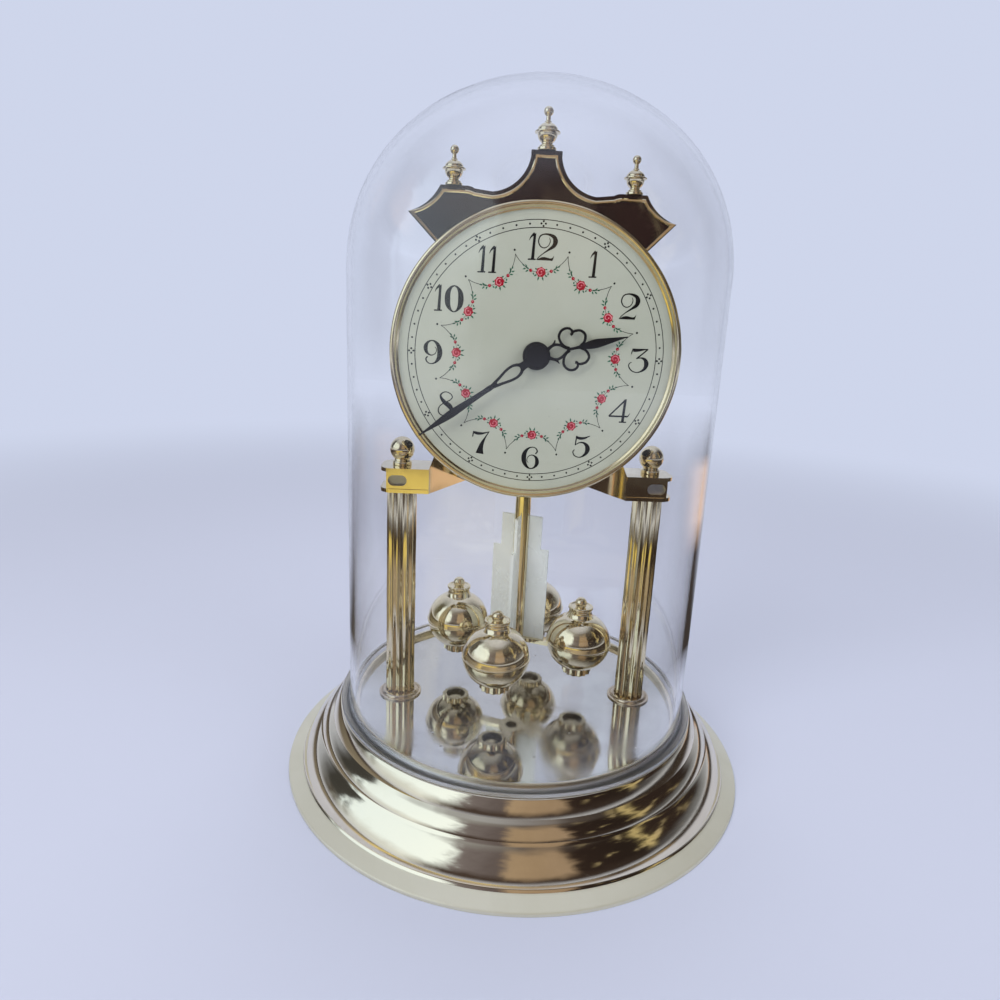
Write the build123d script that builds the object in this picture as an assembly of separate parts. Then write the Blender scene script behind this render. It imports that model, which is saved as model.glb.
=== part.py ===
from build123d import *
import math
import os

# Desk clock with a turning pendulum under a clear dome. Millimetres, +Z up.
# The origin is the middle of the foot on the table and the dial faces -Y.

# Dial, case and bezel, on the clock's own axis
DIAL_RADIUS = 43.7
DIAL_THICKNESS = 0.8
DIAL_FORWARD = 12.9
CASE_THICKNESS = 1.1
CASE_OVERLAP = 0.6
CASE_FOOT_HALF_WIDTH = 18.0
CASE_FOOT_DEPTH = 9.0
CASE_FOOT_THICKNESS = 2.6
CASE_FOOT_ROOM = 0.6
BEZEL_WIDTH = 2.6
BEZEL_LIP = 0.2
BEZEL_RISE = 2.0
BEZEL_DEPTH = 3.9
BEZEL_FIT = 0.15

# Dome, wide enough for the bezel and high enough for the crown
DOME_ROOM = 14.9
DOME_WALL = 1.6
DOME_HEADROOM = 10.4
DOME_CAP_SHARE = 0.933
DOME_FLANGE_WIDTH = 3.0
DOME_FLANGE_THICKNESS = 1.4
DOME_FLANGE_FILLET = 2.2
DOME_FIT = 0.35
DOME_SEAT_GAP = 0.1

# Base
SHOULDER_LEDGE = 3.8
BASE_OVERHANG = 18.1
SHOULDER_HEIGHT = 23.4
BASE_WALL = 2.0
DECK_DROP = 2.2
DECK_THICKNESS = 1.8
LIP_HEIGHT = 1.1
LIP_WIDTH = 1.25
RIB_THICKNESS = 1.6
RIB_DEPTH = 3.0
RIB_RING_RADIUS = 10.0
RIB_COUNT = 6
BOSS_RADIUS = 6.0
BOSS_DEPTH = 4.4

# Mirror plate
PLATE_THICKNESS = 1.3
PLATE_FIT = 0.1

# Columns and their tie rods
COLUMN_INSET = 16.4
COLUMN_Y = -2.1
COLUMN_LENGTH = 77.5
COLUMN_RADIUS = 5.2
COLUMN_BORE = 2.7
FLUTE_COUNT = 14
FLUTE_RADIUS = 0.8
FLUTE_DEPTH = 0.45
COLUMN_SEAT = 0.8
FLANGE_RADIUS = 7.8
FLANGE_THICKNESS = 1.8
ROD_RADIUS = 1.8
ROD_FIT = 0.1
NUT_ACROSS_FLATS = 6.4
NUT_HEIGHT = 2.8
WASHER_RADIUS = 4.6
WASHER_THICKNESS = 0.8
ROD_TAIL = 1.0
FINIAL_BALL_RADIUS = 4.05
FINIAL_NECK_RADIUS = 3.3
FINIAL_NECK_HEIGHT = 2.6
FINIAL_WAIST_RADIUS = 2.7
FINIAL_THREAD_DEPTH = 4.8

# Bridge between the columns
BRIDGE_HEIGHT = 8.4
BLOCK_INNER_REACH = 9.7
BLOCK_OUTER_REACH = 7.0
BLOCK_DEPTH = 15.2
BLOCK_CORNER = 4.5
LEDGE_THICKNESS = 1.3
LEDGE_OVERHANG = 0.4
BRIDGE_WALL = 1.5
SLEEVE_WALL = 1.4
SLOT_LENGTH = 6.3
SLOT_HEIGHT = 3.6
SLOT_SHIFT = 0.9
SLEEVE_REACH = 4.6
ARM_SPAN = 12.0
CROSSBAR_Y = 12.5
ARM_WALL = 2.0
ARM_RAMP = 3.0
SHELF_THICKNESS = 2.0
SHELF_SIDE_REACH = 8.5
SHELF_FRONT_HALF_WIDTH = 20.0
SPINDLE_HOLE_RADIUS = 4.2
BEZEL_LAP = 7.3
CASE_SCREW_X = 14.0
CASE_SCREW_INSET = 4.5
CASE_SCREW_RADIUS = 1.2
CASE_SCREW_HEAD_RADIUS = 2.4
CASE_SCREW_HEAD_HEIGHT = 1.5
SCREW_FIT = 0.1

# Crown, measured out from the bezel
CROWN_DEPTH = 3.2
CROWN_TOP_REACH = 13.6
CROWN_TOP_HALF_WIDTH = 4.6
CROWN_VALLEY_REACH = 1.1
CROWN_VALLEY_X = 15.8
CROWN_SHOULDER_REACH = 2.5
CROWN_SHOULDER_INNER_X = 24.0
CROWN_SHOULDER_OUTER_X = 31.2
CROWN_TIP_REACH = 11.3
CROWN_TUCK = 5.8
CROWN_END_ANGLE = 45.0
CROWN_END_SLOPE = 0.45
CROWN_HOUSING_GAP = 0.4
BEAD_INSET = 1.7
BEAD_WIDTH = 0.7
BEAD_RISE = 0.5
CROWN_SCREW_ANGLE = 24.0
CROWN_SCREW_RADIUS = 1.0
CROWN_SCREW_HEAD_RADIUS = 1.9
CROWN_SCREW_HEAD_HEIGHT = 1.2
URN_HEIGHT = 11.5
URN_RADIUS = 3.5
URN_PEG_RADIUS = 0.8
URN_PEG_DEPTH = 4.0
URN_FINIAL_X = 27.6

# Hands
HAND_THICKNESS = 0.5
HOUR_HAND_GAP = 0.3
HAND_BOSS_GAP = 1.4
HOUR_HAND_LENGTH = 29.6
HOUR_BOSS_RADIUS = 4.2
HOUR_BLADE_WIDTH = 2.9
HOUR_LOOP_RADIUS = 2.7
HOUR_LOOP_REACH = 11.0
HOUR_LOOP_OFFSET = 3.15
HOUR_LOBE_RADIUS = 1.75
HOUR_LOBE_REACH = 14.5
HOUR_LOBE_OFFSET = 2.9
HAND_STROKE = 0.85
HOUR_NIB_REACH = 6.4
HOUR_NIB_OFFSET = 3.4
HOUR_ARM_STEEPNESS = 2.0
MINUTE_HAND_OVERHANG = 1.3
MINUTE_BOSS_RADIUS = 3.8
MINUTE_BLADE_WIDTH = 2.7
MINUTE_LOOP_SPAN_SHARES = (0.131, 0.378)
MINUTE_LOOP_WIDTH = 5.2
MINUTE_NECK_WIDTH = 2.3
HOUR_HAND_ANGLE = 75.8
MINUTE_HAND_ANGLE = 234.2

# Movement housing
HOUSING_SIZE = 55.0
HOUSING_CORNER = 4.0
HOUSING_WALL = 1.6
COVER_THICKNESS = 1.6
BUSH_RADIUS = 3.5
BUSH_REACH = 3.3
BUSH_FIT = 0.1
BUSH_NUT_RADIUS = 4.4
BUSH_NUT_THICKNESS = 1.4
COVER_SCREW_INSET = 3.6
COVER_SCREW_DROP = 5.4
COVER_SCREW_RADIUS = 1.0
COVER_SCREW_HEAD_RADIUS = 1.9
COVER_SCREW_HEAD_HEIGHT = 1.1
COVER_POST_RADIUS = 2.2
COVER_SCREW_LENGTH = 7.0
DOOR_WIDTH_SHARE = 0.854
DOOR_OVERLAP = 0.5
DOOR_FIT = 0.2
DOOR_GRIP_COUNT = 5
DOOR_GRIP_WIDTH = 0.8
DOOR_GRIP_DEPTH = 0.5
DOOR_GRIP_PITCH = 2.0
DOOR_GRIP_LENGTH = 8.0

# Battery and contacts
BATTERY_RADIUS_SHARE = 0.129
BATTERY_NUB_RADIUS = 2.7
BATTERY_NUB_LENGTH = 1.0
BATTERY_GAP = 0.5
BAY_GAP = 0.3
BAY_WALL = 0.9
CONTACT_THICKNESS = 0.4
CONTACT_HEIGHT_SHARE = 0.7
CONTACT_WIDTH = 8.0
SPRING_BOW = 1.4

# Gear train, with hour and motion gears of one centre distance
GEAR_THICKNESS = 1.0
PINION_THICKNESS = 1.4
LAYER_GAP = 0.5
MOTION_DISTANCE_SHARE = 0.207
CANNON_TEETH = 12
MOTION_TEETH = 36
MOTION_PINION_TEETH = 10
HOUR_TEETH = 40
CENTRE_TEETH = 48
TRANSFER_PINION_TEETH = 8
TRANSFER_TEETH = 40
ROTOR_TEETH = 8
CENTRE_DISTANCE_SHARE = 0.178
ROTOR_DISTANCE_SHARE = 0.131
GEAR_BACKLASH = 0.12
HOUR_TUBE_RADIUS = 2.5
MINUTE_ARBOR_RADIUS = 1.6
RUNNING_FIT = 0.05
THIN_ARBOR_RADIUS = 0.55
SETTING_ARBOR_RADIUS = 1.2
MOTION_ANGLE = 225.0
SETTING_ANGLE = 115.0
TRANSFER_ANGLE = -30.0
ROTOR_ANGLE = -10.0
MOTION_POST_RADIUS = 1.0
ROTOR_MAGNET_RADIUS = 3.2
ROTOR_MAGNET_LENGTH = 3.0
ROTOR_PIVOT_ROOM = 0.9
KNOB_RADIUS_SHARE = 0.127
KNOB_THICKNESS = 4.0
KNOB_GAP = 0.3
KNOB_SCALLOPS = 16
KNOB_SCALLOP_RADIUS = 0.8

# Gear plates
GEAR_PLATE_THICKNESS = 0.8
GEAR_PLATE_WIDTH_SHARE = 0.745
GEAR_PLATE_DROP_SHARE = 0.244
GEAR_PLATE_GAP = 0.6
PILLAR_RADIUS = 1.6
PILLAR_INSET = 2.4
PLATE_SCREW_RADIUS = 0.8
PLATE_SCREW_HEAD_RADIUS = 1.5
PLATE_SCREW_HEAD_HEIGHT = 0.9

# Motor, circuit and pendulum drive
STATOR_THICKNESS = 1.0
STATOR_BORE = 3.7
STATOR_HEAD_SHARE = 0.113
STATOR_LEG = 2.6
STATOR_DROP_SHARE = 0.225
STATOR_SEAT = 2.2
MOTOR_COIL_RADIUS_SHARE = 0.058
MOTOR_COIL_LENGTH_SHARE = 0.138
MOTOR_FLANGE_THICKNESS = 0.7
BOARD_WIDTH_SHARE = 0.273
BOARD_HEIGHT_SHARE = 0.203
BOARD_THICKNESS = 1.0
BOARD_PEG_RADIUS = 1.2
BOARD_GAP = 0.4
CHIP_PLACE_SHARES = (0.76, 0.62)
CHIP_RADIUS = 1.9
CHIP_RISE = 1.0
CRYSTAL_PLACE_SHARES = (0.47, 0.92)
CRYSTAL_RADIUS = 1.0
CRYSTAL_LENGTH = 6.0
DRIVE_COIL_RADIUS_SHARE = 0.094
DRIVE_COIL_LENGTH = 4.0
DRIVE_COIL_GAP = 0.7
DRIVE_CORE_RADIUS = 1.6

# Pendulum, hung from its spindle
PENDULUM_Y = 6.4
SPINDLE_RADIUS = 1.0
SPINDLE_FIT = 0.08
COLLAR_RADIUS = 2.4
COLLAR_THICKNESS = 1.2
COLLAR_GAP = 0.1
MAGNET_LENGTH = 5.4
MAGNET_WIDTH = 2.6
MAGNET_HEIGHT = 3.0
MAGNET_ROOM = 0.5
HOOK_RADIUS = 2.0
HOOK_WIRE = 0.6
HOOK_DROP = 4.0
LINK_GAP = 0.05
TUBE_RADIUS = 2.85
TUBE_WALL = 0.5
TUBE_CAP_HEIGHT = 1.4
TUBE_CAP_LIP = 0.35
BALL_RADIUS_SHARE = 0.264
BALL_ROOM = 2.5
BALL_FLOAT = 22.4
SEAM_WIDTH = 0.9
SEAM_RISE = 0.12
CARRIER_DROP = 2.1
CARRIER_THICKNESS = 1.6
CARRIER_WIDTH = 4.0
CARRIER_HUB_RADIUS = 5.0
CARRIER_SOCKET_DEPTH = 1.6
VANE_STEP_RISE = 35.1
VANE_TOP_RISE = 12.3
VANE_UPPER_SHARE = 0.315
VANE_LOWER_SHARE = 0.44
VANE_THICKNESS = 1.0
PENDULUM_TURN = 20.6
BALL_COLLAR_RADIUS = 4.2
BALL_COLLAR_HEIGHT = 3.4
BALL_COLLAR_RIM = 0.7
BALL_NUB_RADIUS = 2.1
BALL_NUB_STEM = 0.3
BALL_FOOT_RADIUS = 4.6
BALL_FOOT_HEIGHT = 3.0
BALL_FOOT_FLUTES = 18
BALL_FOOT_FLUTE_RADIUS = 0.5

OVERRUN = 1.0
BALL_COUNT = 4
FULL_TURN = 360

# Outline of the base from toe to shoulder, as shares of its overhang and height
TOE_SHARES = ((1.0, 0.0), (1.0, 0.045), (0.735, 0.124))
BAND_SHARES = (
    ((0.696, 0.154), (0.578, 0.372), (0.370, 0.543)),
    ((0.326, 0.573), (0.262, 0.680), (0.149, 0.761)),
    ((0.110, 0.786), (0.077, 0.886), (0.000, 0.966)),
)
SHOULDER_SHARES = (-0.033, 1.0)
UNDERSIDE_SHARES = ((0.884, 0.0), (0.586, 0.1), (0.271, 0.508), (0.022, 0.739))

# Silhouette of an urn finial, as shares of its radius and height
URN_SHARES = (
    (0.66, 0.00), (0.66, 0.07), (0.34, 0.11), (0.28, 0.20), (0.62, 0.36), (0.66, 0.40),
    (1.00, 0.42), (1.00, 0.45), (0.60, 0.49), (0.44, 0.60), (0.20, 0.70),
)
URN_BALL_SHARE = 0.44

# Half widths of the blades along the hands, as shares of length and blade width
HOUR_BLADE_SHARES = ((0.30, 0.10), (0.50, 0.17), (0.60, 0.42), (0.67, 0.50), (0.83, 0.34), (1.0, 0.05))
MINUTE_BLADE_SHARES = ((0.35, 0.26), (0.45, 0.30), (0.62, 0.42), (0.73, 0.48), (0.87, 0.30), (1.0, 0.06))

# Addendum and dedendum of a tooth, and half thickness at root, pitch line and tip, in modules
TOOTH_SHARES = ((-1.2, 1.05), (0.0, 0.76), (0.9, 0.34))

CASE_FRONT = DIAL_FORWARD - DIAL_THICKNESS
CASE_RADIUS = DIAL_RADIUS + CASE_OVERLAP
BEZEL_RADIUS = DIAL_RADIUS + BEZEL_WIDTH
BEZEL_OPENING = DIAL_RADIUS + BEZEL_LIP
DOME_RADIUS = BEZEL_RADIUS + DOME_ROOM
DOME_INNER_RADIUS = DOME_RADIUS - DOME_WALL
SHOULDER_RADIUS = DOME_RADIUS + SHOULDER_LEDGE
FOOT_RADIUS = SHOULDER_RADIUS + BASE_OVERHANG
LIP_RADIUS = DOME_INNER_RADIUS - DOME_FIT
PLATE_RADIUS = LIP_RADIUS - LIP_WIDTH - PLATE_FIT
DECK_HEIGHT = SHOULDER_HEIGHT - DECK_DROP
PLATE_TOP = DECK_HEIGHT + PLATE_THICKNESS
COLUMN_X = DOME_INNER_RADIUS - COLUMN_INSET
BRIDGE_BOTTOM = PLATE_TOP + COLUMN_SEAT + COLUMN_LENGTH
BRIDGE_TOP = BRIDGE_BOTTOM + BRIDGE_HEIGHT
BLOCK_INNER_X = COLUMN_X - BLOCK_INNER_REACH
BLOCK_OUTER_X = COLUMN_X + BLOCK_OUTER_REACH
ARM_INNER_X = BLOCK_INNER_X - ARM_SPAN
DIAL_HEIGHT = BRIDGE_TOP + BEZEL_RADIUS - BEZEL_LAP
BOSS_BOTTOM = DECK_HEIGHT - DECK_THICKNESS - BOSS_DEPTH
ROD_BOTTOM = BOSS_BOTTOM - WASHER_THICKNESS - NUT_HEIGHT - ROD_TAIL
ROD_TOP = BRIDGE_TOP + FINIAL_THREAD_DEPTH
CROWN_TOP_RISE = BEZEL_RADIUS + CROWN_TOP_REACH
CROWN_SHOULDER_RISE = BEZEL_RADIUS + CROWN_SHOULDER_REACH
DOME_TOP = DIAL_HEIGHT + CROWN_TOP_RISE + URN_HEIGHT + DOME_HEADROOM
DOME_SPRING_HEIGHT = DOME_TOP - DOME_CAP_SHARE * DOME_RADIUS
MINUTE_HAND_LENGTH = DIAL_RADIUS + MINUTE_HAND_OVERHANG
MINUTE_LOOP_START = MINUTE_LOOP_SPAN_SHARES[0] * MINUTE_HAND_LENGTH
MINUTE_LOOP_END = MINUTE_LOOP_SPAN_SHARES[1] * MINUTE_HAND_LENGTH

# The movement's depth is set by the pendulum's magnet, its plan by the housing
HOUSING_FRONT = CASE_FRONT - CASE_THICKNESS
HOUSING_BOTTOM = DIAL_HEIGHT - HOUSING_SIZE / 2
SHELF_TOP = HOUSING_BOTTOM - CASE_FOOT_THICKNESS - CASE_FOOT_ROOM
MAGNET_SWING = math.hypot(MAGNET_LENGTH, MAGNET_WIDTH) / 2
PENDULUM_LAYER = HOUSING_FRONT + PENDULUM_Y
HOUSING_DEPTH = PENDULUM_LAYER + MAGNET_SWING + MAGNET_ROOM
COVER_FRONT = HOUSING_FRONT - HOUSING_DEPTH
BUSH_FRONT = HOUSING_FRONT + BUSH_REACH
HOUR_HAND_BACK = BUSH_FRONT + HOUR_HAND_GAP
MINUTE_HAND_BACK = HOUR_HAND_BACK + HAND_THICKNESS + HAND_BOSS_GAP
BATTERY_RADIUS = BATTERY_RADIUS_SHARE * HOUSING_SIZE
BATTERY_LENGTH = HOUSING_SIZE - 2 * HOUSING_WALL - CONTACT_THICKNESS - SPRING_BOW - BATTERY_NUB_LENGTH
BATTERY_RISE = HOUSING_SIZE / 2 - HOUSING_WALL - BATTERY_RADIUS - BATTERY_GAP
BATTERY_LAYER = HOUSING_FRONT - (HOUSING_DEPTH + HOUSING_WALL) / 2
BAY_BOTTOM = BATTERY_RISE - BATTERY_RADIUS - BAY_GAP - BAY_WALL
DOOR_WIDTH = DOOR_WIDTH_SHARE * HOUSING_SIZE
DOOR_HEIGHT = 2 * (BATTERY_RADIUS - DOOR_OVERLAP)
CONTACT_HEIGHT = 2 * CONTACT_HEIGHT_SHARE * BATTERY_RADIUS
GEAR_PLATE_HALF_WIDTH = GEAR_PLATE_WIDTH_SHARE * HOUSING_SIZE / 2
GEAR_PLATE_TOP = BAY_BOTTOM - GEAR_PLATE_GAP
GEAR_PLATE_BOTTOM = GEAR_PLATE_DROP_SHARE * HOUSING_SIZE
KNOB_RADIUS = KNOB_RADIUS_SHARE * HOUSING_SIZE
STATOR_HEAD = STATOR_HEAD_SHARE * HOUSING_SIZE
STATOR_DROP = STATOR_DROP_SHARE * HOUSING_SIZE
MOTOR_COIL_RADIUS = MOTOR_COIL_RADIUS_SHARE * HOUSING_SIZE
MOTOR_COIL_LENGTH = MOTOR_COIL_LENGTH_SHARE * HOUSING_SIZE
BOARD_WIDTH = BOARD_WIDTH_SHARE * HOUSING_SIZE
BOARD_HEIGHT = BOARD_HEIGHT_SHARE * HOUSING_SIZE
DRIVE_COIL_RADIUS = DRIVE_COIL_RADIUS_SHARE * HOUSING_SIZE

# Layers of the gear train, as distances behind the front of the housing
HOUR_LAYER = HOUSING_WALL + LAYER_GAP
MOTION_LAYER = HOUR_LAYER + PINION_THICKNESS
MID_PLATE_LAYER = MOTION_LAYER + PINION_THICKNESS + LAYER_GAP
CENTRE_LAYER = MID_PLATE_LAYER + GEAR_PLATE_THICKNESS + LAYER_GAP
TRANSFER_LAYER = CENTRE_LAYER + PINION_THICKNESS + LAYER_GAP
REAR_PLATE_LAYER = TRANSFER_LAYER + PINION_THICKNESS + LAYER_GAP
STATOR_LAYER = REAR_PLATE_LAYER + GEAR_PLATE_THICKNESS + STATOR_SEAT
ROTOR_LAYER = STATOR_LAYER + (STATOR_THICKNESS - ROTOR_MAGNET_LENGTH) / 2
ROTOR_PIVOT_LAYER = HOUSING_DEPTH - ROTOR_PIVOT_ROOM
DRIVE_COIL_REAR = PENDULUM_LAYER - MAGNET_SWING - DRIVE_COIL_GAP

# The train's plan
MOTION_DISTANCE = MOTION_DISTANCE_SHARE * HOUSING_SIZE
MOTION_MODULE = 2 * MOTION_DISTANCE / (CANNON_TEETH + MOTION_TEETH)
HOUR_MODULE = 2 * MOTION_DISTANCE / (MOTION_PINION_TEETH + HOUR_TEETH)
TRANSFER_DISTANCE = CENTRE_DISTANCE_SHARE * HOUSING_SIZE
CENTRE_MODULE = 2 * TRANSFER_DISTANCE / (CENTRE_TEETH + TRANSFER_PINION_TEETH)
ROTOR_DISTANCE = ROTOR_DISTANCE_SHARE * HOUSING_SIZE
TRANSFER_MODULE = 2 * ROTOR_DISTANCE / (TRANSFER_TEETH + ROTOR_TEETH)

# The pendulum's heights
BALL_RADIUS = BALL_RADIUS_SHARE * COLUMN_X
BALL_ORBIT = COLUMN_X - COLUMN_RADIUS - BALL_ROOM - BALL_RADIUS
VANE_UPPER_REACH = VANE_UPPER_SHARE * BALL_ORBIT
VANE_LOWER_REACH = VANE_LOWER_SHARE * BALL_ORBIT
BALL_HEIGHT = PLATE_TOP + BALL_FLOAT
CARRIER_TOP = BALL_HEIGHT - CARRIER_DROP
VANE_STEP = CARRIER_TOP + VANE_STEP_RISE
VANE_TOP = VANE_STEP + VANE_TOP_RISE

DIAL_FRAME = Pos(0, 0, DIAL_HEIGHT) * Rot(90, 0, 0)


def polar(radius, degrees):
    """Point at a radius, with its angle from +X."""
    return (radius * math.cos(math.radians(degrees)), radius * math.sin(math.radians(degrees)))


def lathe(edges):
    """Solid of revolution about Z from edges drawn as radius and height."""
    return revolve(Plane.XZ * make_face(edges), Axis.Z)


def column_places(height=0):
    """The two column axes at one height."""
    return [Pos(side * COLUMN_X, COLUMN_Y, height) for side in (-1, 1)]


def layer(depth):
    """Place on the dial axis, a distance behind the front of the housing."""
    return HOUSING_FRONT - depth


def bar(radius, start, end):
    """Round bar on local Z between two heights."""
    return Pos(0, 0, min(start, end)) * extrude(Circle(radius), abs(end - start))


def grouped(solids):
    """One node holding separate solids."""
    return Compound(children=list(solids))


def base_point(share):
    """Place on the base's outline for a share of overhang and height."""
    overhang = FOOT_RADIUS - SHOULDER_RADIUS
    return (SHOULDER_RADIUS + share[0] * overhang, share[1] * SHOULDER_HEIGHT)


def base_outline():
    """Outer edge of the base: a flat toe and three swelling bands."""
    toe = [base_point(share) for share in TOE_SHARES]
    edges = [Polyline(*toe)]
    last = toe[-1]
    for band in BAND_SHARES:
        low, middle, high = [base_point(share) for share in band]
        edges += [Line(last, low), ThreePointArc(low, middle, high)]
        last = high
    edges.append(Line(last, base_point(SHOULDER_SHARES)))
    return edges


def base_shell():
    """Round base with a locating lip for the dome and a ribbed underside."""
    lip_inner = LIP_RADIUS - LIP_WIDTH
    lip_top = SHOULDER_HEIGHT + LIP_HEIGHT
    under = DECK_HEIGHT - DECK_THICKNESS
    hollow = [base_point(share) for share in UNDERSIDE_SHARES]
    inner_end = (hollow[-1][0] - BASE_WALL, under)
    top = Polyline(
        base_point(SHOULDER_SHARES), (LIP_RADIUS, SHOULDER_HEIGHT), (LIP_RADIUS, lip_top),
        (lip_inner, lip_top), (lip_inner, DECK_HEIGHT), (0, DECK_HEIGHT), (0, under), inner_end,
        *reversed(hollow), base_point(TOE_SHARES[0]),
    )
    shell = lathe(base_outline() + [top])
    for turn in range(RIB_COUNT):
        reach = LIP_RADIUS - RIB_RING_RADIUS
        rib = Pos(RIB_RING_RADIUS, 0, under - RIB_DEPTH) * Box(
            reach, RIB_THICKNESS, RIB_DEPTH + DECK_THICKNESS / 2, align=(Align.MIN, Align.CENTER, Align.MIN)
        )
        shell += Rot(0, 0, (turn + 0.5) * FULL_TURN / RIB_COUNT) * rib
    ring = Circle(RIB_RING_RADIUS + RIB_THICKNESS) - Circle(RIB_RING_RADIUS)
    shell += Pos(0, 0, under - RIB_DEPTH) * extrude(ring, RIB_DEPTH + DECK_THICKNESS / 2)
    for place in column_places():
        shell += place * bar(BOSS_RADIUS, BOSS_BOTTOM, under + DECK_THICKNESS / 2)
        shell -= place * bar(ROD_RADIUS + ROD_FIT, BOSS_BOTTOM - OVERRUN, DECK_HEIGHT + OVERRUN)
    return shell


def mirror_plate():
    """Polished disc that lies in the deck, with a hole for each tie rod."""
    plate = Pos(0, 0, DECK_HEIGHT) * extrude(Circle(PLATE_RADIUS), PLATE_THICKNESS)
    for place in column_places():
        plate -= place * bar(ROD_RADIUS + ROD_FIT, DECK_HEIGHT - OVERRUN, PLATE_TOP + OVERRUN)
    return plate


def cap_arcs(radius, top):
    """Two arcs from an upright wall over to the axis, the upper one centred on it."""
    crown = radius**2 / (top - DOME_SPRING_HEIGHT)
    drop = DOME_SPRING_HEIGHT - top + crown
    side = (crown**2 - radius**2 - drop**2) / (2 * (crown - radius))
    turn = math.degrees(math.atan2(drop, radius - side))
    side_x, side_y = polar(side, turn)
    joint = (radius - side + side_x, DOME_SPRING_HEIGHT + side_y)
    return [
        TangentArc((radius, DOME_SPRING_HEIGHT), joint, tangent=(0, 1)),
        ThreePointArc(joint, over_axis(crown, top, (turn + 90) / 2), (0, top)),
    ]


def over_axis(radius, top, degrees):
    """Point of a circle that is centred on the axis below its top."""
    x, y = polar(radius, degrees)
    return (x, top - radius + y)


def dome():
    """Clear dome with a foot flange that rests on the base's shoulder."""
    seat = SHOULDER_HEIGHT + DOME_SEAT_GAP
    flange_radius = DOME_RADIUS + DOME_FLANGE_WIDTH
    flange_top = seat + DOME_FLANGE_THICKNESS
    wall_start = (DOME_RADIUS, flange_top + DOME_FLANGE_FILLET)
    outer = cap_arcs(DOME_RADIUS, DOME_TOP)
    inner = cap_arcs(DOME_INNER_RADIUS, DOME_TOP - DOME_WALL)
    return lathe([
        Polyline((DOME_INNER_RADIUS, seat), (flange_radius, seat), (flange_radius, flange_top), wall_start),
        Line(wall_start, (DOME_RADIUS, DOME_SPRING_HEIGHT)),
        *outer,
        Line((0, DOME_TOP), (0, DOME_TOP - DOME_WALL)),
        *inner,
        Line((DOME_INNER_RADIUS, DOME_SPRING_HEIGHT), (DOME_INNER_RADIUS, seat)),
    ])


def column():
    """Fluted tube, drawn on the Z axis at its own height."""
    bottom = PLATE_TOP + COLUMN_SEAT
    section = Circle(COLUMN_RADIUS)
    reach = COLUMN_RADIUS + FLUTE_RADIUS - FLUTE_DEPTH
    section -= PolarLocations(reach, FLUTE_COUNT) * Circle(FLUTE_RADIUS)
    section -= Circle(COLUMN_BORE)
    return Pos(0, 0, bottom) * extrude(section, BRIDGE_BOTTOM - bottom)


def column_flange():
    """Turned foot of a column, with a seat for the tube."""
    seat = PLATE_TOP + COLUMN_SEAT
    top = PLATE_TOP + FLANGE_THICKNESS
    hole = ROD_RADIUS + ROD_FIT
    seat_radius = COLUMN_RADIUS + ROD_FIT
    rim = PLATE_TOP + FLANGE_THICKNESS / 2
    shoulder = (FLANGE_RADIUS + seat_radius) / 2
    return lathe([
        Polyline((hole, PLATE_TOP), (FLANGE_RADIUS, PLATE_TOP), (FLANGE_RADIUS, rim), (shoulder, top),
                 (seat_radius, top), (seat_radius, seat), (hole, seat), (hole, PLATE_TOP)),
    ])


def ball_finial():
    """Ball nut that closes a tie rod above the bridge."""
    centre = BRIDGE_TOP + FINIAL_NECK_HEIGHT + math.sqrt(FINIAL_BALL_RADIUS**2 - FINIAL_WAIST_RADIUS**2)
    waist = BRIDGE_TOP + FINIAL_NECK_HEIGHT
    collar = BRIDGE_TOP + FINIAL_NECK_HEIGHT / 2
    tip = centre + FINIAL_BALL_RADIUS
    profile = [
        Polyline((0, BRIDGE_TOP), (FINIAL_NECK_RADIUS, BRIDGE_TOP), (FINIAL_NECK_RADIUS, collar),
                 (FINIAL_WAIST_RADIUS, waist)),
        ThreePointArc((FINIAL_WAIST_RADIUS, waist), (FINIAL_BALL_RADIUS, centre), (0, tip)),
        Line((0, tip), (0, BRIDGE_TOP)),
    ]
    return lathe(profile) - bar(ROD_RADIUS + ROD_FIT, BRIDGE_TOP - OVERRUN, ROD_TOP + ROD_FIT)


def rod_nut():
    """Hex nut under the base."""
    washer_bottom = BOSS_BOTTOM - WASHER_THICKNESS
    section = RegularPolygon(NUT_ACROSS_FLATS / 2, 6, major_radius=False) - Circle(ROD_RADIUS + ROD_FIT)
    return Pos(0, 0, washer_bottom - NUT_HEIGHT) * extrude(section, NUT_HEIGHT)


def rod_washer():
    """Plain washer between nut and boss."""
    section = Circle(WASHER_RADIUS) - Circle(ROD_RADIUS + ROD_FIT)
    return Pos(0, 0, BOSS_BOTTOM - WASHER_THICKNESS) * extrude(section, WASHER_THICKNESS)


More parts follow.
